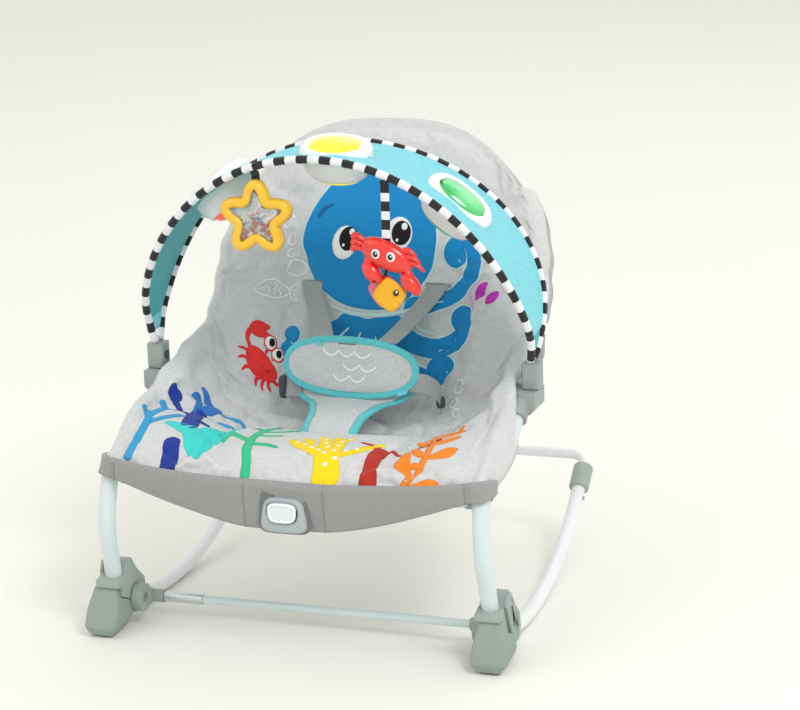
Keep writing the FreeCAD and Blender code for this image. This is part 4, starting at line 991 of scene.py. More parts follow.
def makeLight(side, place, lens, node, stands):
    centre, along, width, out = archFrame(place)
    tilt = math.radians(lightModule["tilts"][side])
    centre = centre - out * lightModule["sunk"][side]
    width, out = (width * math.cos(tilt) + out * math.sin(tilt),
                  out * math.cos(tilt) - width * math.sin(tilt))
    shells = []
    for rings in ("ring", "bowl"):
        points, faces = latheRings(scaledRings(lightModule[rings]), 64, 2.25)
        shells.append((inFrame(points, centre, along, width, out), faces))
    for end in (-1, 1):
        # moulded latch tabs at both ends of the rim; the slot in the bowl's side follows below as a small dark grey
        # lump, painted shade of the opening
        tab, faces = ballMesh((0, 0, 0), (4.5, 2.2, 1.8), 14, 8, 3)
        spot = centre + along * (end * 0.80 * lightModule["halfLength"]) + out * 13.0
        shells.append((inFrame(tab, spot, along, width, out), faces))
    points, faces = joined(shells)
    shell = outwards(makePiece("light_shell_" + side, points, faces, [whitePlastic]))
    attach(shell, "toy_bar")
    if stands:
        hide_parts("light_housings")
    domes, paintedHighlight = [], []
    for rings in ("dome", "lowLens"):
        points, faces = latheRings(scaledRings(lightModule[rings]), 56, 2.2)
        # painted highlight in the lens: strongest a little off the middle, gone at 0.62 of the half size
        aside = np.hypot(points[:, 0] / lightModule["halfLength"] - 0.12,
                         points[:, 1] / lightModule["halfWidth"])
        paintedHighlight += list(1 - aside / 0.62)
        domes.append((inFrame(points, centre, along, width, out), faces))
    points, faces = joined(domes)
    dome = outwards(makePiece("light_lens_" + side, points, faces, [lens]))
    paintedGlow = dome.data.attributes.new("paintedGlow", "FLOAT", "POINT")
    paintedGlow.data.foreach_set("value", np.clip(np.array(paintedHighlight), 0, 1).astype(np.float32))
    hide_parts(node)
    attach(dome, "toy_bar")
    # the slot in the bowl's side: a small dark grey lump whose dark is painted shade inside the opening
    marks = []
    for lateralPlace in (-0.3,):
        mark, faces = ballMesh((0, 0, 0), (1.1, 0.6, 2.0), 10, 6, 3)
        spot = (centre + along * lateralPlace * lightModule["halfLength"] - width * 0.87 * lightModule["halfWidth"]
                - out * 5.5)
        marks.append((inFrame(mark, spot, along, width, out), faces))
    points, faces = joined(marks)
    mark = outwards(makePiece("light_slot_shade_" + side, points, faces, [darkPlastic]))
    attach(mark, "toy_bar")


for side, place, lens, slotName, stands in (("left", lightModule["places"][0], lensRed, "lens_red", True),
                                            ("middle", lightModule["places"][1], lensYellow,
                                             "lens_yellow", False),
                                            ("right", lightModule["places"][2], lensGreen, "lens_green",
                                             False)):
    makeLight(side, place, lens, "lens_" + side, stands)
print("toy bar made")


def hoopAt(across):
    places = np.linspace(-1, 1, 2001)
    curve = archCurve(frontPoles, places)
    return curve[np.argmin(np.abs(curve[:, 0] - across))]


star = {"across": -65.0, "drop": 57.5, "tip": 41.0, "valley": 23.0, "tube": 6.0, "depth": 8.6}


def starOutline(tip, valley, count, rounding):
    # five rounded points: the radius swells smoothly from valley to tip
    turn = np.linspace(0, 2 * math.pi, count, endpoint=False)
    wave = (np.cos(5 * turn) + 1) / 2
    radius = valley + (tip - valley) * wave ** rounding
    return np.stack([np.sin(turn) * radius, np.cos(turn) * radius], axis=1)


def makeStar():
    hang = hoopAt(star["across"])
    centre = hang - (0, 0, star["drop"])
    outline = starOutline(star["tip"] - star["tube"] * 0.6, star["valley"] - 1.0, 160, 1.25)
    normal = np.stack([-np.gradient(outline[:, 1]), np.gradient(outline[:, 0])], axis=1)
    normal /= np.linalg.norm(normal, axis=1)[:, None]
    if (normal * outline).sum() < 0:
        normal = -normal
    rows = []
    for angle in np.linspace(0, 2 * math.pi, 20, endpoint=False):
        u = math.copysign(abs(math.cos(angle)) ** 0.8, math.cos(angle)) * star["tube"]
        w = math.copysign(abs(math.sin(angle)) ** 0.8, math.sin(angle)) * star["depth"]
        flat = outline + normal * u
        rows.append(np.stack([flat[:, 0], np.full(len(flat), w), flat[:, 1]], axis=1) + centre)
    rows.append(rows[0])
    faces = gridFaces(len(rows) - 1, 160, ring=True)
    last = (len(rows) - 2) * 160
    faces += [(last + j, last + (j + 1) % 160, (j + 1) % 160, j) for j in range(160)]
    ring = outwards(makePiece("star_frame", np.concatenate(rows[:-1]), faces, [yellowPlastic]))
    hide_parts("star_ring")
    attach(ring, "star_toy")
    panes = []
    inner = starOutline(star["tip"] - star["tube"] * 1.1, star["valley"] - star["tube"] * 0.75, 80, 1.25)
    for side in (-1, 1):
        rings = []
        for share, bulge in ((1.0, 4.5), (0.7, 6.3), (0.35, 7.2), (0.05, 7.5)):
            rings.append(np.stack([inner[:, 0] * share, np.full(80, side * bulge), inner[:, 1] * share],
                                  axis=1))
        back = [r * (1, 0, 1) + (0, side * 3.6, 0) for r in rings[::-1]]
        points = np.concatenate(rings + back) + centre
        faces = gridFaces(len(rings) * 2, 80, ring=True)
        lastRow = (len(rings) * 2 - 1) * 80
        faces += [(lastRow + j, lastRow + (j + 1) % 80, (j + 1) % 80, j) for j in range(80)]
        panes.append((points, faces))
    points, faces = joined(panes)
    pane = outwards(makePiece("star_panes", points, faces, [clearWindow]))
    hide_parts("star_window")
    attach(pane, "star_toy")
    beadSpots = ((-14, -17), (-7, -14), (0, -15), (7, -14), (13, -18), (-10, -8), (4, -7), (-17, -23),
                 (16, -24),
                 (10, -10), (-3, -10))
    for tone, material in enumerate((redPlastic, orangePlastic, whitePlastic)):
        beads = []
        for number, (x, z) in enumerate(beadSpots):
            if number % 3 == tone:
                beads.append(ballMesh(centre + (x * 0.9, (number % 4 - 1.5) * 0.5, z * 0.9),
                                      (2.9, 2.9, 2.9), 14, 10))
        points, faces = joined(beads)
        piece = outwards(makePiece("star_beads_%d" % tone, points, faces, [material]))
        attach(piece, "star_toy")
    makeToyStrap("star_tape", hang, star["drop"] - star["tip"] + 1.0, "star_strap", "star_toy", True)


def makeToyStrap(name, hang, drop, node, body, plain):
    # woven tape looped over the piping and sewn below it, with black and white bars
    top = hang - (0, 0, 7.5)
    count = max(5, int(drop / 2.0))
    path = np.linspace(top, hang - (0, 0, drop), count)
    path[:, 1] += np.sin(np.linspace(0, math.pi, count)) * 0.6
    points, faces = ribbonMesh(path, (1.0, 0.0, 0.0), 9.5, 1.6)
    sides = 12
    picks = [1 if plain or int(k // sides * 2.0 / 11.0) % 2 == 0 else 0 for k in range((count - 1) * sides)] + [1, 1]
    tape = (points, faces)
    knot = ballMesh(top + (0, -1.2, 0.5), (5.2, 2.6, 3.0), 16, 10, 2.6)
    allPoints, allFaces = joined([tape, knot])
    picks += [1] * len(knot[1])
    piece = outwards(makePiece(name, allPoints, allFaces, [stripeLight, stripeDark], picks))
    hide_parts(node)
    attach(piece, body)


makeStar()

crab = {"across": 84.0, "drop": 88.0, "half": (29.0, 11.0, 17.0)}


def limb(points, radii, sides=14):
    path = evenPath(np.array(points, float), 1.6)
    spread = np.interp(np.linspace(0, 1, len(path)), np.linspace(0, 1, len(radii)), radii)
    turn = np.linspace(-1, 1, len(path))
    spread = spread * np.sqrt(np.clip(1.03 - turn ** 8, 0.03, 1.0))
    return tubeMesh(path, spread, sides)


def makeCrab():
    hang = hoopAt(crab["across"])
    centre = hang - (0, 0, crab["drop"])
    half = crab["half"]
    shell, faces = ballMesh((0, 0, 0), half, 36, 22, 2.3)
    shell[:, 2] += 3.0 * (1 - (shell[:, 0] / half[0]) ** 2) * (shell[:, 2] > 0)
    tilt = math.radians(-14)
    parts = [(shell, faces)]
    for side in (-1, 1):
        for number in range(3):
            out = side * (23 + 2.5 * number)
            up = 12 - 7.5 * number
            parts.append(limb([(out * 0.8, 0, up * 0.7), (out + side * 9, -1, up + 3),
                               (out + side * 15, -1, up - 3)],
                              (3.2, 3.4, 2.6)))
        parts.append(limb([(side * 15, -2, -7), (side * 24, -3, -12), (side * 25, -3, -20)],
                          (4.0, 4.6, 5.0)))
        claw, clawFaces = ballMesh((side * 22.5, -3, -25), (11.5, 9.0, 12.5), 26, 16, 2.2)
        cleft = np.exp(-((claw[:, 0] - side * 20) / 2.2) ** 2) * ease(-30, -37, claw[:, 2])
        claw[:, 2] += 7.0 * cleft
        parts.append((claw, clawFaces))
    points, faces = joined(parts)
    turned = points.copy()
    turned[:, 0] = points[:, 0] * math.cos(tilt) + points[:, 2] * math.sin(tilt)
    turned[:, 2] = points[:, 0] * math.sin(tilt) + points[:, 2] * math.cos(tilt)
    body = outwards(makePiece("crab_body", turned + centre, faces, [redPlastic]))
    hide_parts("crab")
    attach(body, "crab_toy")
    for name, material, radii, forward in (("crab_eye_whites", whitePlastic, (5.2, 1.6, 5.6), 0.0),
                                           ("crab_eye_pupils", blackPlastic, (3.0, 1.2, 3.4), 1.6),
                                           ("crab_eye_lights", whitePlastic, (1.0, 0.6, 1.0), 2.6)):
        eyes = []
        for x in (-9.0, 8.0):
            aside = 1.2 if name == "crab_eye_lights" else 0.0
            spot = np.array((x + aside, -half[1] * 0.93 - forward, 2.5 - x * 0.16 + aside))
            eyes.append(ballMesh(centre + spot, radii, 20, 12))
        points, faces = joined(eyes)
        piece = outwards(makePiece(name, points, faces, [material]))
        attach(piece, "crab_toy")
    makeToyStrap("crab_tape", hang, crab["drop"] - half[2] + 1.0, "crab_strap", "crab_toy", False)
    return centre


crabCentre = makeCrab()


def makeTeether():
    # two soft plates of rounded diamond outline
    centre = crabCentre - (0, 0, crab["half"][2] + 25.0)
    for name, material, offset, turn, node in (("teether_front", yellowRubber, (3.5, -4.2, 0.0), 0.10,
                                                "teether"),
                                               ("teether_rear", pinkRubber, (-5.0, 4.2, 2.0), -0.18,
                                                None)):
        angle = np.linspace(0, 2 * math.pi, 72, endpoint=False)
        reach = 19.5 / (np.abs(np.cos(angle)) ** 1.35 + np.abs(np.sin(angle)) ** 1.35) ** (1 / 1.35)
        rings = []
        for share, depth in ((0.05, -2.6), (0.6, -2.6), (0.86, -2.5), (0.96, -1.7), (1.0, 0.0),
                             (0.96, 1.7),
                             (0.86, 2.5), (0.6, 2.6), (0.05, 2.6)):
            u = np.cos(angle + turn) * reach * share
            w = np.sin(angle + turn) * reach * share
            ripple = 0.5 * np.cos(10 * angle) * (0.5 < share < 0.9)
            rings.append(np.stack([u, np.full(72, depth) + math.copysign(1, depth) * ripple, w], axis=1))
        faces = gridFaces(len(rings), 72, ring=True)
        faces.append(tuple(reversed(range(72))))
        faces.append(tuple(range((len(rings) - 1) * 72, len(rings) * 72)))
        piece = outwards(makePiece(name, np.concatenate(rings) + centre + offset, faces, [material]))
        if node:
            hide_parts(node)
        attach(piece, "teether_toy")
    for name, material, spot, radii in (("teether_dot", blackPlastic, (12.0, -8.0, 3.0), (3.4, 1.2, 3.4)),
                                        ("teether_dot_light", whitePlastic, (13.2, -9.1, 4.4),
                                         (1.3, 0.5, 1.3))):
        points, faces = ballMesh(centre + spot, radii, 16, 10)
        piece = outwards(makePiece(name, points, faces, [material]))
        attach(piece, "teether_toy")
    loop = limb([(-2, 0, 19), (-1, -1, 25), (3, 0, 29)], (1.6, 1.6, 1.6), 10)
    piece = outwards(makePiece("teether_cord", loop[0] + centre, loop[1], [stripeDark]))
    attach(piece, "teether_toy")


makeTeether()
print("toys made")


# skirt below the seat's front edge, wrapped round the tops of the legs
skirt = {
    # from the middle to the right: top seam (across, station, height), then the hem
    "top": ((0, -42.5, 198), (60, -42.5, 198.5), (110, -41.5, 200.5), (160, -39.5, 203.5),
            (192, -36, 206.5),
            (209, -31.5, 208.5), (219, -25, 208.5), (225, -16.5, 207.5), (228.5, -7, 206), (230, 3, 204)),
    "hem": ((0, -37.5, 141), (60, -36.5, 145), (110, -35.5, 156), (160, -34.5, 171), (194, -33.5, 182.5),
            (210, -33, 187), (221, -31, 189), (227, -24, 189.5), (229, -15, 190), (229.5, -4, 190.5)),
    "thickness": 1.4,
}


def makeSkirt():
    both = evenPath(np.concatenate([np.array(skirt["top"], float), np.array(skirt["hem"], float)],
                                   axis=1), 5.0)
    both = np.concatenate([both[:0:-1] * (-1, 1, 1, -1, 1, 1), both])
    top, hem = both[:, :3], both[:, 3:]
    run = lengthAlong(hem)
    columns = 16
    down = np.linspace(0, 1, columns)
    outward = np.stack([np.gradient(top[:, 1]), -np.gradient(top[:, 0]), np.zeros(len(top))], axis=1)
    outward /= np.linalg.norm(outward, axis=1)[:, None]
    x = top[:, 0]
    gather = np.sin(run / 5.0 + np.sin(run / 13.0)) * ease(185, 222, np.abs(x)) * 1.3
    belly = 1.6 * np.sin(math.pi * down)[None, :] * (1 - (np.abs(x) / 230.0) ** 4)[:, None]
    pull = gather[:, None] * (0.3 + 0.8 * (1 - down))[None, :]
    crease = 0.7 * np.sin(x[:, None] / 23.0 + down[None, :] * 3.0)
    seam = sum(np.exp(-((x - s) / 1.6) ** 2) for s in (-205, -39, 39, 205))[:, None] * 1.4
    seam = seam * ease(0.1, 0.3, down)[None, :]
    recess = 2.0 * ease(38, 33, np.abs(x))[:, None] * ease(0.1, 0.25, down)[None, :]
    tuck = 4.0 * ease(0.09, 0.0, down)[None, :]
    lift = belly + pull + crease - seam - recess - tuck
    front = mix(top[:, None, :], hem[:, None, :], down[None, :, None]) + outward[:, None, :] * lift[...,
                                                                                                    None]
    back = front - outward[:, None, :] * skirt["thickness"]
    points, faces = closedGrid(front, back)
    piece = outwards(makePiece("skirt_cloth", points, faces, [skirtCloth]))
    drop = np.linalg.norm(top - hem, axis=1)
    flat = np.stack([np.repeat(run[:, None], columns, 1), down[None, :] * drop[:, None]], axis=2)
    clothPlaces(piece, np.concatenate([flat.reshape(-1, 2)] * 2))
    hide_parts("seat_skirt")
    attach(piece, "base")
    return front


skirtFront = makeSkirt()


def makeStitches(name, lines, material, body, length=3.4, gap=1.8, thick=0.42, blended=False):
    # rows of short sewn stitches lying along lines of points
    parts = []
    for line in lines:
        path = evenPath(np.asarray(line, float), 0.8)
        run = lengthAlong(path)
        at = 0.0
        while at + length < run[-1]:
            want = np.linspace(at, at + length, 5)
            stitch = np.stack([np.interp(want, run, path[:, k]) for k in range(3)], axis=1)
            parts.append(tubeMesh(stitch, thick, sides=5))
            at += length + gap
    points, faces = joined(parts)
    piece = outwards(makePiece(name, points, faces, [material]))
    if blended:
        blendSling(piece)
    else:
        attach(piece, body)
    return piece


def skirtLine(x, side, low=0.97, high=0.03):
    # a sewn line down the skirt at x, or beside it
    rows = np.argmin(np.abs(skirtFront[:, 0, 0] - (x + side)))
    columns = np.linspace(high, low, 9) * (skirtFront.shape[1] - 1)
    at = skirtFront[rows][np.round(columns).astype(int)]
    return at + (0, -0.5, 0)


makeStitches("skirt_stitches", [skirtLine(-39, -6), skirtLine(39, 6), skirtLine(-207, 5),
                                skirtLine(207, -5)],
             threadGrey, "base")


unit = {
    "low": 141.0, "high": 181.0, "halfLow": 28.5, "halfHigh": 22.5,
    "front": -46.0, "back": 2.0,
    "buttonLow": 153.8, "buttonHigh": 176.2, "buttonHalfLow": 15.2, "buttonHalfHigh": 17.2,
    "buttonFront": -49.0,
}


def shieldRing(halfLow, halfHigh, low, high, station, power, count=72):
    # rounded four-sided outline, wider at one end
    turn = np.linspace(0, 2 * math.pi, count, endpoint=False)
    c, s = np.cos(turn), np.sin(turn)
    u = np.sign(c) * np.abs(c) ** (2 / power)
    v = np.sign(s) * np.abs(s) ** (2 / power)
    half = mix(halfLow, halfHigh, (v + 1) / 2)
    return np.stack([u * half, np.full(count, station), (low + high) / 2 + v * (high - low) / 2], axis=1)


def shieldMesh(rings):
    count = len(rings[0])
    faces = gridFaces(len(rings), count, ring=True)
    faces.append(tuple(reversed(range(count))))
    last = (len(rings) - 1) * count
    faces.append(tuple(range(last, last + count)))
    return np.concatenate(rings), faces


def makeUnit():
    def outer(inset, station):
        return shieldRing(unit["halfLow"] - inset, unit["halfHigh"] - inset, unit["low"] + inset,
                          unit["high"] - inset, station, 4.2)

    def opening(gap, station):
        return shieldRing(unit["buttonHalfLow"] + gap, unit["buttonHalfHigh"] + gap,
                          unit["buttonLow"] - gap,
                          unit["buttonHigh"] + gap, station, 3.4)

    front = unit["front"]
    rings = [outer(1.0, unit["back"]), outer(0.0, unit["back"] - 1.0), outer(0.0, front + 7.0),
             outer(0.6, front + 3.2), outer(2.0, front + 1.0), outer(4.0, front + 0.1), outer(6.0, front),
             opening(2.4, front + 0.1), opening(1.3, front + 0.6), opening(0.9, front + 1.6),
             opening(0.9, front + 5.0)]
    points, faces = shieldMesh(rings)
    shell = outwards(makePiece("unit_shell", points, faces, [unitPlastic]))
    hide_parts("vibration_case")
    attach(shell, "base")
    top = unit["buttonFront"]
    rings = [opening(-1.5, top + 4.2), opening(0.0, top + 3.8), opening(0.0, top + 1.6),
             opening(-0.5, top + 0.5),
             opening(-1.4, top), opening(-2.3, top + 0.1), opening(-2.9, top + 0.9),
             opening(-4.5, top + 1.1),
             opening(-7.0, top + 0.9), opening(-9.6, top + 0.8)]
    points, faces = shieldMesh(rings)
    picks = np.zeros(len(faces), int)
    picks[72 * 6:72 * 9] = 1
    picks[-1] = 1
    button = outwards(makePiece("unit_button", points, faces, [whitePlastic, buttonPlastic], picks))
    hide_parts("vibration_button")
    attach(button, "mode_button")
    # dark lining of the pocket in which the unit sits
    rings = [shieldRing(31.5, 27.0, 139.5, 192.0, -34.5, 5),
             shieldRing(31.5, 27.0, 139.5, 192.0, -39.6, 5),
             shieldRing(30.6, 26.0, 140.5, 191.0, -40.6, 5)]
    points, faces = shieldMesh(rings)
    pocket = outwards(makePiece("unit_pocket", points, faces, [pocketCloth]))
    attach(pocket, "base")


pocketCloth = wovenCloth("oxford polyester, woven, dark grey", "#7E8082", "#6C6E70", 1.2, slub=0.2,
                         placed=False)
makeUnit()


pad = {
    "centre": (0.0, 177.0, 270.0), "lean": 14.0, "half": (83.0, 35.5), "power": 2.35,
    "binding": 7.2, "rise": 7.5, "rim": 2.4,
    "turned": -2.0,          # degrees, clockwise from the front
}


def padAxes():
    lean = math.radians(pad["lean"])
    roll = math.radians(pad["turned"])
    across = np.array([1.0, 0.0, 0.0])
    up = np.array([0.0, math.sin(lean), math.cos(lean)])
    out = np.array([0.0, -math.cos(lean), math.sin(lean)])
    return (across * math.cos(roll) + up * math.sin(roll),
            up * math.cos(roll) - across * math.sin(roll), out)


padAcross, padUp, padOut = padAxes()


def padPoint(u, v, lift=0.0, face=1):
    # a point on the pad's face; u and v in mm from its middle
    half = pad["half"]
    reach = (np.abs(u / half[0]) ** pad["power"] + np.abs(v / half[1]) ** pad["power"]) ** (1 / pad["power"])
    inner = 1 - pad["binding"] / half[1]
    dome = pad["rise"] * np.sqrt(np.clip(1 - (np.minimum(reach, inner) / inner) ** 2.4, 0, 1)) * 0.8
    rim = pad["rim"] * np.sqrt(np.clip(1 - np.clip((reach - inner) / (1 - inner), 0, 1) ** 3, 0, 1))
    ripple = 0.5 * np.sin(u / 13.0 + 0.6 * np.sin(v / 9.0)) * np.clip(1 - reach, 0, 1) * 2
    height = face * (dome + rim) + ripple + lift
    bend = -0.0009 * u * u
    return (np.asarray(pad["centre"])[None, :] + u[:, None] * padAcross + v[:, None] * padUp
            + (height + bend)[:, None] * padOut)


def makePad():
    segments = 120
    shares = [1.0, 0.985, 0.955, 0.92, 0.88, 0.85, 0.83, 0.81, 0.79, 0.75, 0.68, 0.58, 0.46, 0.34, 0.22,
              0.1]
    turn = np.linspace(0, 2 * math.pi, segments, endpoint=False)
    c, s = np.cos(turn), np.sin(turn)
    power = 2 / pad["power"]
    u = np.sign(c) * np.abs(c) ** power
    v = np.sign(s) * np.abs(s) ** power
    half = pad["half"]
    rings, flats = [], []

    def ring(share, face):
        # the binding keeps an even width all round
        inset = (1 - share) * half[1]
        if share > 0.78:
            a, b = half[0] - inset, half[1] - inset
        else:
            a = (half[0] - 0.22 * half[1]) * share / 0.78
            b = half[1] * share
        at = padPoint(u * a, v * b, 0.0, face)
        rings.append(at)
        flats.append(np.stack([u * a, v * b], axis=1))

    for share in shares[::-1]:
        ring(share, -1)
    for share in shares[1:]:
        ring(share, 1)
    faces = gridFaces(len(rings), segments, ring=True)
    faces.append(tuple(reversed(range(segments))))
    faces.append(tuple(range((len(rings) - 1) * segments, len(rings) * segments)))
    around = shares[::-1] + shares[1:]
    picks = []
    for k in range(len(rings) - 1):
        bound = min(around[k], around[k + 1]) >= 0.79
        picks += [1 if bound else 0] * segments
    picks += [0, 0]
    piece = outwards(makePiece("waist_pad_cover", np.concatenate(rings), faces, [padCloth, aquaTape],
                               picks))
    clothPlaces(piece, np.concatenate(flats))
    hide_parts("waist_pad")
    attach(piece, "base")
    a, b = half[0] - 0.215 * half[1], half[1] * 0.785
    line = padPoint(np.append(u, u[0]) * a, np.append(v, v[0]) * b, 0.3)
    makeStitches("pad_stitches", [line[::3]], aquaTape, "base", 2.6, 1.6, 0.35)
    # white wave print: rows of small arcs
    arcs = []
    for u0, v0, count, wide in ((-31, 19, 3, 19.5), (-5, 4.0, 2, 20.0), (-16, -9, 2, 19.5)):
        for k in range(count):
            t = np.linspace(0, 1, 15)
            au = u0 + wide * (k + t)
            av = v0 - 6.8 * np.sin(math.pi * t) ** 0.8
            path = padPoint(au, av, 0.15)
            ahead = np.gradient(path, axis=0)
            side = np.cross(ahead, padOut)
            arcs.append(ribbonMesh(path, side, 1.5, 0.5))
    points, faces = joined(arcs)
    waves = outwards(makePiece("pad_waves", points, faces, [inkWhite]))
    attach(waves, "base")
    # the small aqua tabs through which the straps run, and the slit at the top, drawn as a thin dark grey strip:
    # painted shade inside the opening
    slits = []
    for (u0, v0), (u1, v1), wide in (((-42, 24.5), (-33, 24.0), 4.5), ((72, -21.5), (60, -27), 4.5)):
        path = padPoint(np.linspace(u0, u1, 7), np.linspace(v0, v1, 7), 1.4)
        slits.append(ribbonMesh(path, padUp, wide, 1.6))
    points, faces = joined(slits)
    tabs = outwards(makePiece("pad_tabs", points, faces, [aquaCloth]))
    clothPlaces(tabs, np.zeros((len(points), 2)))
    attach(tabs, "base")
    # the slit's dark strip is painted shade
    path = padPoint(np.linspace(-14, 8, 9), np.linspace(26.2, 26.8, 9), 0.1)
    points, faces = ribbonMesh(path, padUp, 1.3, 0.5)
    slit = outwards(makePiece("pad_slit_shade", points, faces, [pocketCloth]))
    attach(slit, "base")


inkWhite = printInk("pigment ink, white", "#FFFFFF", "#F1F2F4")
makePad()

crotch = {
    "path": ((0, 180, 243), (0, 172, 236), (0, 158, 231), (0, 138, 227), (0, 118, 222), (0, 102, 213),
             (0, 93, 200)),
    "half": (74, 66, 46, 36, 34, 33, 32),
    "binding": 8.5, "thickness": 3.0,
}


def makeCrotch():
    path = evenPath(np.array([p + (h,) for p, h in zip(crotch["path"], crotch["half"])], float), 2.4)
    half = path[:, 3]
    path = path[:, :3]
    run = lengthAlong(path)
    band = crotch["binding"]
    columns = []
    for share in (-1.0, -0.5, 0.0):
        columns.append(-half + (share + 1) * band)
    for share in np.linspace(-1, 1, 13)[1:-1]:
        columns.append((half - band) * share)
    for share in (0.0, 0.5, 1.0):
        columns.append(half - band + share * band)
    columns = np.stack(columns, axis=1)
    ahead = np.gradient(path, axis=0)
    out = np.cross((1.0, 0, 0), ahead)
    out /= np.linalg.norm(out, axis=1)[:, None]
    out *= np.sign(out[:, 2:3] - out[:, 1:2])
    side = columns / half[:, None]
    lift = 3.0 * (1 - side ** 2) - 1.0 + 0.4 * np.sin(run[:, None] / 7.0 + side * 4)
    top = path[:, None, :] + columns[..., None] * np.array([1.0, 0, 0]) + lift[..., None] * out[:, None,
                                                                                                :]
    top[..., 1] += 0.10 * np.abs(columns) * (half[:, None] > 40)
    bottom = top - out[:, None, :] * crotch["thickness"]
    points, faces = closedGrid(top, bottom)
    count = columns.shape[1]
    picks = []
    for face in faces:
        column = [k % count for k in face]
        edge = max(column) <= 2 or min(column) >= count - 3
        picks.append(1 if edge else 0)
    piece = outwards(makePiece("crotch_strip", points, faces, [padCloth, aquaTape], picks))
    flat = np.stack([columns, np.repeat(run[:, None], count, 1)], axis=2)
    clothPlaces(piece, np.concatenate([flat.reshape(-1, 2)] * 2))
    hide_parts("crotch_strap")
    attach(piece, "base")
    lines = [top[4:, 2] + out[4:] * 0.3, top[4:, count - 3] + out[4:] * 0.3]
    makeStitches("crotch_stitches", lines, threadGrey, "base", 2.6, 1.6, 0.35)


makeCrotch()


def onSling(u, v, lift=0.0):
    # points on the sling's face from flat places: across, and distance from the front seam
    u = np.atleast_1d(np.asarray(u, float))
    v = np.atleast_1d(np.asarray(v, float))
    rows, columns = slingFlat.shape[:2]
    line = slingFlat[:, columns // 2, 1]
    r = np.interp(v, line, np.arange(rows))
    r0 = np.clip(r.astype(int), 0, rows - 2)
    fr = (r - r0)[:, None]
    found = []
    for k in range(len(u)):
        here = mix(slingFlat[r0[k], :, 0], slingFlat[r0[k] + 1, :, 0], fr[k, 0])
        c = float(np.interp(u[k], here, np.arange(columns)))
        c0 = min(int(c), columns - 2)
        fc = c - c0
        near = mix(slingTop[r0[k], c0], slingTop[r0[k], c0 + 1], fc)
        far = mix(slingTop[r0[k] + 1, c0], slingTop[r0[k] + 1, c0 + 1], fc)
        normal = slingNormal[r0[k], c0]
        found.append(mix(near, far, fr[k, 0]) + normal * (lift if np.isscalar(lift) else lift[k]))
    return np.array(found)


slingNormal = gridNormals(slingTop)
harness = {
    "shoulder": (((-72, 163), (-33, 188, 298)), ((79, 166), (42, 188, 298))),
    "shoulderWidth": 25.0, "waistWidth": 22.0, "thickness": 1.5,
}


def makeStrap(name, path, across, width, node):
    path = evenPath(path, 3.0)
    points, faces = ribbonMesh(path, across, width, harness["thickness"])
    piece = outwards(makePiece(name, points, faces, [webbing]))
    clothPlaces(piece, ribbonPlaces(path, width))
    if node:
        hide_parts(node)
    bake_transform(piece)


def makeHarness():
    for side, ((u, d), low) in zip(("left", "right"), harness["shoulder"]):
        slotPoint = onSling(u, backZero + d, 0.0)[0]
        inside = onSling(u * 1.01, backZero + d + 6, -6.0)[0]
        near = onSling(u * 0.97, backZero + d - 8, 2.2)[0]
        low = np.array(low, float)
        path = [inside, slotPoint + (0, -1.5, 0), near, mix(near, low, 0.4) + (0, 3.0, -3.0),
                mix(near, low, 0.75) + (0, 2.0, -3.0), low]
        across = (1.0, 0.0, 0.0)
        makeStrap("shoulder_strap_" + side, path, across, harness["shoulderWidth"],
                  "shoulder_straps" if side == "left" else None)
        lips = []
        for k in (-1, 1):
            # sewn mouth of the strap's slot
            t = np.linspace(-14, 14, 9)
            lip = onSling(u + t, backZero + d + 1 + k * 1.2 + 0 * t, 0.2)
            lips.append(tubeMesh(lip, 0.7, sides=8))
        points, faces = joined(lips)
        piece = outwards(makePiece("slot_stitch_" + side, points, faces, [threadGrey]))
        blendSling(piece)
    left = [(-60, 181, 242), (-76, 181, 241), (-85, 184, 240), (-92, 196, 238), (-96, 212, 236),
            (-98, 226, 234)]
    right = [(58, 181, 254), (77, 180, 255), (90, 181, 254), (99, 185, 249), (104, 190, 241),
             (104, 195, 232),
             (101, 201, 224)]
    up = np.array([0.0, 0.15, 1.0])
    makeStrap("waist_strap_left", left, up, harness["waistWidth"], "waist_straps")
    makeStrap("waist_strap_right", right, up, harness["waistWidth"], None)
    parts = []
    for spot, radii, turn in (((-85, 183.5, 240), (5.5, 4.0, 13.5), -0.7),
                              ((103.5, 195, 230), (5.0, 5.5, 7.0), 0.5)):
        ball, faces = ballMesh((0, 0, 0), radii, 28, 16, 4.0)
        c, s = math.cos(turn), math.sin(turn)
        turned = np.stack([ball[:, 0] * c - ball[:, 1] * s, ball[:, 0] * s + ball[:, 1] * c,
                           ball[:, 2]], axis=1)
        parts.append((turned + spot, faces))
    points, faces = joined(parts)
    piece = outwards(makePiece("strap_buckles", points, faces, [darkPlastic]))
    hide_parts("buckles")
    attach(piece, "base")


makeHarness()
print("skirt, unit, pad and straps made")


def slingAt(flat):
    # place and outward direction on the sling's face for flat places: across, and from the front seam
    rows, columns = slingFlat.shape[:2]
    line = slingFlat[:, columns // 2, 1]
    found = np.zeros((len(flat), 3))
    normals = np.zeros((len(flat), 3))
    for k, (u, v) in enumerate(flat):
        r = min(max(float(np.interp(v, line, np.arange(rows))), 0.0), rows - 1.001)
        i, fr = int(r), r - int(r)
        c = float(np.interp(u, mix(slingFlat[i, :, 0], slingFlat[i + 1, :, 0], fr), np.arange(columns)))
        j = min(int(c), columns - 2)
        fc = c - j
        found[k] = mix(mix(slingTop[i, j], slingTop[i, j + 1], fc),
                       mix(slingTop[i + 1, j], slingTop[i + 1, j + 1], fc), fr)
        normals[k] = mix(mix(slingNormal[i, j], slingNormal[i, j + 1], fc),
                         mix(slingNormal[i + 1, j], slingNormal[i + 1, j + 1], fc), fr)
    return found, normals


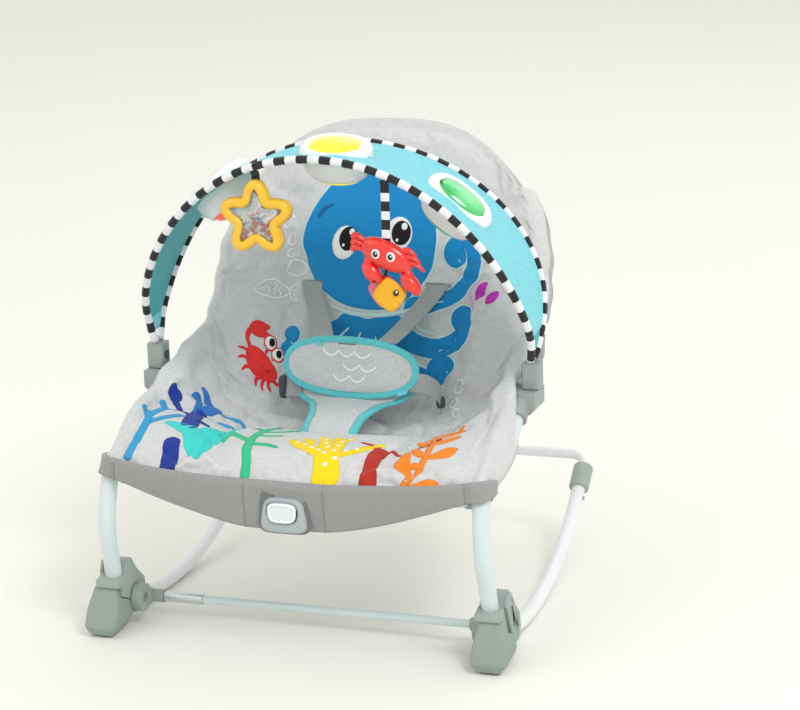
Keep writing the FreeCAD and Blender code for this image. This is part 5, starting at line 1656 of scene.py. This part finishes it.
def onCover(flatGrid, lift, ring):
    # a thin skin of ink over a grid of flat places
    rows, columns = flatGrid.shape[:2]
    place, normal = slingAt(flatGrid.reshape(-1, 2))
    top = (place + normal * lift).reshape(rows, columns, 3)
    low = (place + normal * (lift - 0.5)).reshape(rows, columns, 3)
    if not ring:
        points, faces = closedGrid(top, low)
        return points, faces, np.concatenate([flatGrid.reshape(-1, 2)] * 2)
    both = np.concatenate([top, low[::-1]])
    faces = gridFaces(2 * rows, columns, ring=True)
    faces.append(tuple(reversed(range(columns))))
    faces.append(tuple(range((2 * rows - 1) * columns, 2 * rows * columns)))
    return both.reshape(-1, 3), faces, np.concatenate([flatGrid, flatGrid[::-1]]).reshape(-1, 2)


def strokePlaces(points, widths, more=0.0):
    # a brush stroke with round ends
    path = evenPath(np.array(points, float), 2.6)
    run = lengthAlong(path)
    width = np.interp(np.linspace(0, 1, len(path)), np.linspace(0, 1, len(widths)), widths) / 2 + more
    ahead = np.gradient(path, axis=0)
    ahead /= np.linalg.norm(ahead, axis=1)[:, None]
    path[0] -= ahead[0] * more
    path[-1] += ahead[-1] * more
    start = np.clip(run / np.maximum(width[0], 0.1), 0, 1)
    end = np.clip((run[-1] - run) / np.maximum(width[-1], 0.1), 0, 1)
    width = width * np.sqrt(np.clip(1 - (1 - start) ** 2, 0.02,
                                    1)) * np.sqrt(np.clip(1 - (1 - end) ** 2, 0.02, 1))
    side = np.stack([-ahead[:, 1], ahead[:, 0]], axis=1)
    columns = max(3, int(width.max() * 2 / 2.8) + 1)
    share = np.linspace(-1, 1, columns)
    return path[:, None, :] + side[:, None, :] * (width[:, None] * share[None, :])[..., None]


def blobPlaces(outline, more=0.0):
    # a filled closed shape through given points
    points = np.array(list(outline) + [outline[0]], float)
    lead = np.concatenate([points[-3:-1], points, points[1:3]])
    gaps = lengthAlong(lead)
    span = (gaps[2], gaps[-3])
    count = max(14, int((span[1] - span[0]) / 3.0))
    want = (span[0] + (span[1] - span[0]) * np.arange(count) / count) / gaps[-1]
    edge = splineThrough(lead, want)
    middle = edge.mean(axis=0)
    ahead = np.roll(edge, -1, axis=0) - np.roll(edge, 1, axis=0)
    ahead /= np.maximum(np.linalg.norm(ahead, axis=1)[:, None], 1e-6)
    outward = np.stack([ahead[:, 1], -ahead[:, 0]], axis=1)
    if (outward * (edge - middle)).sum() < 0:
        outward = -outward
    edge = edge + outward * more
    reach = np.linalg.norm(edge - middle, axis=1).max()
    rings = max(3, int(reach / 3.2))
    share = np.concatenate([[0.02], np.linspace(0, 1, rings + 1)[1:]])
    return middle + (edge[None] - middle) * share[:, None, None]


def oval(u, v, a, b, turn=0.0):
    angle = np.linspace(0, 2 * math.pi, 12, endpoint=False)
    x, y = np.cos(angle) * a, np.sin(angle) * b
    c, s = math.cos(turn), math.sin(turn)
    return [(u + p * c - q * s, v + p * s + q * c) for p, q in zip(x, y)]


def loopStroke(outline, width):
    # an outline drawn as one closed stroke
    return (list(outline) + [outline[0]], (width, width))


def printed(name, ink, lift, strokes=(), blobs=(), more=0.0, back=False):
    # one ink of one motif; on the back, places count from the back's foot
    move = np.array([0.0, backZero if back else 0.0])
    parts, flats = [], []
    for points, widths in strokes:
        p, f, flat = onCover(strokePlaces(points, widths, more) + move, lift, False)
        parts.append((p, f))
        flats.append(flat)
    for outline in blobs:
        p, f, flat = onCover(blobPlaces(outline, more) + move, lift, True)
        parts.append((p, f))
        flats.append(flat)
    points, faces = joined(parts)
    piece = outwards(makePiece(name, points, faces, [ink]))
    clothPlaces(piece, np.concatenate(flats))
    blendSling(piece)
    return piece


ink = {
    "sea": printInk("pigment ink, sea blue", "#1B95D8", "#167FBE"),
    "rim": printInk("pigment ink, pale aqua", "#D5F1F4", "#BFE6EA"),
    "deep": printInk("pigment ink, deep blue", "#136FB0", "#0F629E"),
    "black": printInk("pigment ink, black", "#1B1B1E", "#121214"),
    "cyan": printInk("pigment ink, light blue", "#3AA6DA", "#2C97CC"),
    "navy": printInk("pigment ink, navy", "#27409F", "#1E3188"),
    "royal": printInk("pigment ink, royal blue", "#2F7CCB", "#276DBA"),
    "aqua": printInk("pigment ink, bright aqua", "#46DCD6", "#35CCC6"),
    "green": printInk("pigment ink, sea green", "#3CCB98", "#2EBB88"),
    "yellow": printInk("pigment ink, yellow", "#FFE01A", "#F7D30C"),
    "brick": printInk("pigment ink, brick red", "#BE382C", "#AA2C22"),
    "orange": printInk("pigment ink, orange", "#F9902C", "#EE801C"),
    "lime": printInk("pigment ink, lime", "#A9DA4C", "#98CC3C"),
    "teal": printInk("pigment ink, teal", "#2CA99E", "#22998F"),
    "red": printInk("pigment ink, red", "#F03A3A", "#E32C2E"),
    "pink": printInk("pigment ink, pink", "#F3A6DC", "#EA98D0"),
    "magenta": printInk("pigment ink, magenta", "#C63AC0", "#B82EB2"),
}

# sea creature with curled arms on the back
octopusHead = ((-5, 294), (-45, 286), (-72, 262), (-87, 232), (-89, 205), (-80, 180), (-64, 160),
               (-38, 143), (-5, 136),
               (30, 140), (54, 158), (68, 180), (72, 205), (68, 234), (52, 264), (28, 286))
octopusBody = ((-30, 130), (0, 126), (34, 132), (50, 118), (46, 100), (30, 84), (0, 80), (-28, 84),
               (-42, 104))
octopusArms = (
    (((42, 138), (78, 146), (104, 160), (118, 184), (119, 210), (106, 224)), (26, 20, 17, 17, 18, 14)),
    (((106, 222), (94, 214), (92, 200), (100, 194)), (16, 17, 18, 16)),
    (((34, 116), (62, 101), (92, 98), (112, 110), (119, 130)), (26, 20, 20, 20, 20)),
    (((36, 92), (62, 70), (84, 65), (97, 76)), (26, 22, 22, 24)),
    (((-36, 96), (-66, 84), (-92, 84), (-99, 98)), (24, 18, 20, 16)),
    (((-22, 116), (-44, 108), (-54, 84)), (24, 20, 22)),
    (((-12, 104), (-22, 90), (-28, 70)), (24, 20, 20)),
    (((6, 104), (4, 88), (2, 70)), (24, 20, 20)),
)
octopusTips = (oval(97, 203, 13, 14), oval(112, 130, 13, 15), oval(93, 77, 16, 13), oval(-90, 104, 11, 9),
               oval(-98, 86, 9, 12))
printed("octopus_rim", ink["rim"], 0.3, octopusArms, (octopusHead, octopusBody) + octopusTips, 2.2, True)
printed("octopus_fill", ink["sea"], 0.6, octopusArms, (octopusHead, octopusBody) + octopusTips, 0.0, True)
printed("octopus_lines", ink["rim"], 0.9, (
    (((-48, 138), (-20, 131), (8, 130), (38, 134), (62, 142), (88, 148)), (2.0, 4.2, 4.4, 4.2, 3.4, 1.5)),
    (((-20, 116), (-34, 100), (-40, 72)), (2.0, 3.2, 4.0)),
    (((-6, 112), (-10, 92), (-12, 72)), (2.0, 3.2, 4.2)),
    (((12, 108), (16, 90), (20, 72)), (2.0, 3.2, 4.0)),
    (((50, 84), (38, 96), (30, 104)), (2.0, 3.0, 2.0)),
    (((52, 128), (66, 116), (82, 112)), (2.5, 4.2, 2.5))), (), 0.0, True)
printed("octopus_brow", ink["deep"], 0.9, ((((-74, 236), (-68, 246), (-56, 250)), (5.0, 6.0, 3.0)),),
        (), 0.0, True)
printed("octopus_eyes", inkWhite, 0.9, (), (oval(-38, 207, 15, 18), oval(26, 218, 16, 18)), 0.0, True)
printed("octopus_pupils", ink["black"], 1.2, (), (oval(-34, 211, 11, 13), oval(29, 219, 11.5, 13)), 0.0,
        True)
printed("octopus_glints", inkWhite, 1.5, (),
        (oval(-30, 218, 3.4, 3.8), oval(32, 226, 3.6, 4.0), oval(-39, 204, 1.6, 1.8),
                                             oval(25, 211, 1.6, 1.8)), 0.0, True)

# small motifs on the back
fishBody = ((-152, 152), (-144, 160), (-130, 165), (-114, 160), (-103, 151), (-114, 145), (-130, 142),
            (-145, 145))
fishTail = (((-103, 151), (-96, 160), (-90, 163), (-94, 152), (-88, 139), (-96, 142), (-103, 151)),
            (1.6, 1.6))
fishBones = tuple((((x, 161 - abs(x + 128) * 0.12), (x + 2.5, 157), (x - 1.0, 153), (x + 2.5, 149),
                    (x, 145 + abs(x + 128) * 0.1)), (1.3, 1.3)) for x in (-138, -131, -124, -117))
shell = ((-112, 178), (-104, 190), (-94, 190), (-84, 178), (-92, 172), (-104, 172))
ovals = (oval(-115, 240, 7, 8), oval(-106, 216, 6.2, 7), oval(-107, 200, 4.6, 5),
         oval(121, 51, 5.5, 9, -0.4),
         oval(116, 31, 4.5, 6.5, -0.2), oval(119, 18, 4.0, 5.0))
printed("sea_outlines", inkWhite, 0.6, (loopStroke(fishBody, 1.6), fishTail,
                                        (((-146, 154), (-145, 153)), (2.6, 2.6)),
                                        loopStroke(shell, 1.6)) + fishBones
        + tuple(loopStroke(o, 1.7) for o in ovals), (), 0.0, True)
printed("pink_fish", ink["pink"], 0.6, (),
        (((150, 232), (156, 246), (168, 252), (182, 246), (189, 234), (192, 224),
                                             (182, 226), (170, 228), (160, 226)),
                                             oval(171, 222, 3.5, 3.0)), 0.0, True)
printed("pink_fish_eye", inkWhite, 0.9, (), (oval(170, 239, 5.6, 6.0),), 0.0, True)
printed("pink_fish_pupil", ink["black"], 1.2, (), (oval(169.5, 239, 3.2, 3.6),), 0.0, True)
printed("magenta_fins", ink["magenta"], 0.6, (),
        (((128, 148), (126, 158), (130, 170), (138, 175), (137, 164), (135, 152)),
                                                  ((141, 143), (140, 153), (144, 162), (151, 164),
                                                   (152, 154), (148, 144))),
        0.0, True)
printed("pink_line", ink["pink"], 0.6, ((((132, 178), (123, 168), (120, 154), (126, 140), (124, 132)),
                                         (1.2, 1.2)),), (),
        0.0, True)
crabLegs = (
    (((-140, 66), (-152, 70), (-161, 66)), (4.5, 4.0, 2.0)),
    (((-140, 60), (-152, 60), (-160, 54)), (4.5, 4.0, 2.0)),
    (((-138, 54), (-148, 50), (-154, 42)), (4.5, 4.0, 2.0)),
    (((-130, 46), (-135, 38), (-134, 31)), (4.5, 4.0, 2.0)),
    (((-124, 44), (-127, 36), (-124, 29)), (4.5, 4.0, 2.0)),
    (((-118, 45), (-117, 37), (-112, 32)), (4.5, 4.0, 2.0)),
    (((-113, 48), (-106, 44), (-99, 46)), (5.0, 4.5, 3.0)),
    (((-143, 74), (-149, 86), (-146, 98)), (4.5, 5.5, 7.0)),
    (((-125, 76), (-121, 85)), (3.0, 3.0)), (((-115, 70), (-110, 76)), (3.0, 3.0)),
)
printed("crab_print", ink["red"], 0.6, crabLegs, (
    ((-149, 66), (-146, 76), (-136, 80), (-124, 76), (-113, 66), (-107, 54), (-112, 45), (-124, 42),
     (-138, 46), (-147, 55)),
    ((-148, 96), (-144, 106), (-134, 110), (-122, 106), (-127, 101), (-119, 98), (-128, 93), (-139, 91)),
    oval(-120, 90, 8.2, 8.8), oval(-109, 79, 8.2, 8.8)), 0.0, True)
printed("crab_print_eyes", inkWhite, 0.9, (), (oval(-120, 90, 6.6, 7.2), oval(-109, 79, 6.6, 7.2)), 0.0,
        True)
printed("crab_print_pupils", ink["black"], 1.2, (),
        (oval(-118.5, 91, 3.6, 4.4), oval(-107.5, 80, 3.6, 4.4)), 0.0, True)
printed("crab_print_mouth", ink["brick"], 0.9,
        ((((-128, 62), (-124, 57), (-117, 58)), (1.6, 1.8, 1.4)),), (), 0.0, True)
print("back printed")

# sea plants rising from the front seam over the seat
printed("blue_branch", ink["cyan"], 0.6, (
    (((-191, 21), (-190, 45), (-189, 74), (-194, 102), (-203, 112), (-214, 118)), (10, 9, 9, 9, 8, 9)),
    (((-194, 98), (-190, 118), (-186, 134), (-180, 146)), (8, 8, 8, 10)),
    (((-190, 84), (-178, 104), (-163, 128)), (6, 8, 8)),
    (((-186, 132), (-196, 146), (-205, 150)), (7, 8, 8)),
))
printed("navy_coral", ink["navy"], 0.6, (
    (((-143, 92), (-150, 122), (-157, 152), (-160, 176)), (20, 19, 18, 17)),
    (((-153, 138), (-170, 146), (-186, 158), (-196, 168)), (7, 7, 7, 8)),
    (((-148, 120), (-138, 122), (-128, 116)), (8, 8, 7)),
    (((-141, 6), (-143, 30), (-148, 52), (-150, 66)), (19, 19, 18, 18)),
), (oval(-200, 172, 15, 9, -0.6),))
printed("blue_coral", ink["royal"], 0.6, (
    (((-158, 172), (-156, 190), (-157, 206), (-168, 217), (-178, 222)), (17, 17, 17, 12, 12)),
    (((-157, 150), (-166, 172), (-174, 192)), (7, 8, 8)),
    (((-194, 232), (-182, 224), (-166, 214)), (14, 14, 14)),
), (oval(-181, 200, 15, 8, -0.9),))
printed("blue_coral_arms", ink["cyan"], 0.6, (
    (((-156, 200), (-140, 206), (-122, 208), (-104, 206)), (12, 9, 8, 7)),
    (((-154, 158), (-138, 166), (-122, 166), (-106, 172)), (7, 7, 9, 7)),
))
printed("aqua_leaf", ink["aqua"], 0.6, (
    (((-114, 36), (-120, 62), (-134, 84), (-152, 92), (-172, 96)), (15, 34, 30, 22, 6)),
    (((-116, 44), (-114, 72), (-106, 104), (-98, 130), (-100, 148)), (15, 38, 34, 24, 6)),
    (((-124, 76), (-120, 96), (-122, 118)), (30, 26, 5)),
))
printed("green_coral", ink["green"], 0.6, (
    (((-47, 8), (-50, 34), (-56, 60), (-60, 84)), (11, 10, 10, 10)),
    (((-58, 74), (-76, 88), (-96, 108), (-112, 131)), (9, 8, 8, 7)),
    (((-60, 82), (-62, 116), (-62, 150), (-66, 196)), (9, 8, 7, 6)),
    (((-56, 66), (-40, 66), (-22, 58)), (8, 8, 5)),
    (((-84, 94), (-92, 86), (-92, 76)), (7, 7, 5)), (((-100, 112), (-110, 108), (-118, 112)), (6, 6, 5)),
    (((-62, 116), (-48, 128), (-36, 146)), (7, 7, 8)), (((-62, 130), (-78, 146), (-92, 158)), (7, 7, 8)),
    (((-62, 100), (-44, 100), (-32, 106)), (6, 6, 5)),
), (((-88, 162), (-98, 160), (-100, 170), (-90, 172)), ((-36, 144), (-28, 148), (-34, 160), (-42, 154))))
yellowArms = (
    (((43, 3), (42, 22), (37, 42), (34, 54)), (31, 29, 26, 30)),
    (((30, 48), (14, 60), (-4, 72), (-16, 88)), (18, 17, 15, 9)),
    (((4, 66), (6, 84), (-4, 96)), (12, 12, 6)),
    (((34, 50), (26, 74), (18, 98), (8, 112)), (18, 16, 13, 7)),
    (((36, 48), (40, 70), (38, 96), (48, 114)), (18, 15, 12, 7)),
    (((22, 90), (30, 104), (30, 116)), (9, 9, 5)),
    (((42, 48), (58, 60), (72, 80), (84, 96)), (15, 12, 10, 6)),
)
printed("yellow_coral", ink["yellow"], 0.6, yellowArms)
yellowDots = ((38, 34), (46, 44), (32, 52), (40, 60), (24, 58), (14, 64), (4, 72), (-6, 78), (30, 70),
              (24, 82),
              (40, 76), (39, 92), (52, 62), (62, 70), (10, 100), (20, 96), (44, 106))
printed("yellow_dots", inkWhite, 0.9, (), tuple(oval(u, v, 2.4, 2.4) for u, v in yellowDots))
printed("brick_stem", ink["brick"], 0.6, (
    (((92, 3), (90, 26), (84, 52), (84, 72), (92, 86)), (20, 18, 15, 15, 12)),
    (((84, 70), (98, 84), (116, 88), (130, 84)), (14, 8, 6, 4)),
    (((86, 74), (74, 88), (58, 98)), (12, 6, 4)),
    (((132, 82), (142, 96), (150, 112)), (4, 6, 8)),
))
printed("orange_plant", ink["orange"], 0.6, (
    (((128, 4), (138, 24), (146, 48), (146, 84), (140, 120), (132, 160), (128, 196)),
     (8, 8, 7, 7, 7, 7, 6)),
    (((136, 22), (132, 34), (128, 44)), (6, 6, 5)),
    (((146, 62), (136, 70), (128, 84)), (9, 11, 6)), (((144, 92), (158, 100), (172, 112)), (8, 13, 8)),
    (((142, 112), (156, 122), (172, 136)), (8, 12, 7)),
    (((140, 130), (154, 140), (168, 156)), (7, 11, 6)),
    (((138, 146), (150, 158), (164, 176)), (7, 10, 6)), (((142, 88), (134, 98), (124, 108)), (7, 10, 5)),
    (((140, 108), (132, 118), (124, 130)), (6, 9, 5)),
), (((134, 30), (124, 34), (114, 46), (110, 62), (116, 76), (126, 74), (131, 58)),
    ((148, 58), (156, 70), (168, 80), (178, 78), (176, 66), (164, 58)),
    ((140, 14), (150, 22), (164, 26), (172, 18), (166, 6), (150, 4)),
    ((146, 44), (138, 52), (132, 50), (138, 42))))
printed("teal_leaf", ink["teal"], 0.6, (
    (((128, 186), (146, 200), (166, 210), (184, 214)), (8, 17, 13, 4)),
    (((160, 208), (176, 226), (186, 232)), (6, 6, 8)), (((150, 204), (156, 220), (152, 232)), (6, 6, 9)),
))
printed("lime_leaf", ink["lime"], 0.9, ((((134, 190), (148, 199), (162, 204)), (3, 10, 3)),))
printed("orange_bud", ink["orange"], 0.6, (
    (((158, 214), (170, 226), (178, 240)), (5, 6, 10)), (((176, 230), (186, 236)), (4, 4)),
), (oval(180, 250, 9, 12, -0.5), oval(158, 226, 6, 8, 0.4)))
arcDots = []
for radius in (16, 22, 28):
    for angle in np.linspace(0.25, 2.9, int(radius * 0.55)):
        arcDots.append(oval(86 + radius * 1.2 * math.cos(angle), 108 + radius * math.sin(angle), 1.1,
                            1.1))
printed("dotted_arcs", inkWhite, 0.6, (), tuple(arcDots))
print("seat printed")


studio = {
    "floorHalf": 20.0,
    "floorTone": "#F1F1EC",
    "skyTone": "#F4F4F0",
    "skyStrength": 0.96,
    "lights": (   # place, size, power
        ((2.4, -2.0, 3.6), 1.5, 64.0),
        ((-2.6, -2.2, 3.2), 3.0, 14.0),
        ((0.3, 3.2, 4.2), 3.2, 30.0),
    ),
}


def makeStudio():
    half = studio["floorHalf"]
    mesh = bpy.data.meshes.new("floor")
    mesh.from_pydata([(-half, -half, 0), (half, -half, 0), (half, half, 0), (-half, half, 0)], [],
                     [(0, 1, 2, 3)])
    floor = bpy.data.objects.new("floor", mesh)
    bpy.context.scene.collection.objects.link(floor)
    material, tree, shader = newMaterial("painted board, matt, warm white")
    where = addNode(tree, "ShaderNodeTexCoord").outputs["Object"]
    cloud = addNode(tree, "ShaderNodeTexNoise", inputs={"Vector": where, "Scale": 3.0, "Detail": 2.0})
    tree.links.new(twoTone(tree, cloud.outputs["Fac"], "#EFEFEA", studio["floorTone"]),
                   shader.inputs["Base Color"])
    shader.inputs["Roughness"].default_value = 0.9
    mesh.materials.append(material)
    world = bpy.data.worlds.new("studio")
    bpy.context.scene.world = world
    world.use_nodes = True
    sky = world.node_tree.nodes["Background"]
    sky.inputs["Color"].default_value = linear(studio["skyTone"])
    sky.inputs["Strength"].default_value = studio["skyStrength"]
    middle = (cadLow + cadHigh) / 2
    for number, (place, size, power) in enumerate(studio["lights"]):
        data = bpy.data.lights.new("softbox_%d" % number, "AREA")
        data.size = size
        data.energy = power
        lamp = bpy.data.objects.new("softbox_%d" % number, data)
        lamp.location = place
        lamp.rotation_euler = (middle - Vector(place)).to_track_quat("-Z", "Y").to_euler()
        bpy.context.scene.collection.objects.link(lamp)
    scene = bpy.context.scene
    scene.view_settings.view_transform = "Standard"
    scene.view_settings.look = "None"


makeStudio()
print("done")
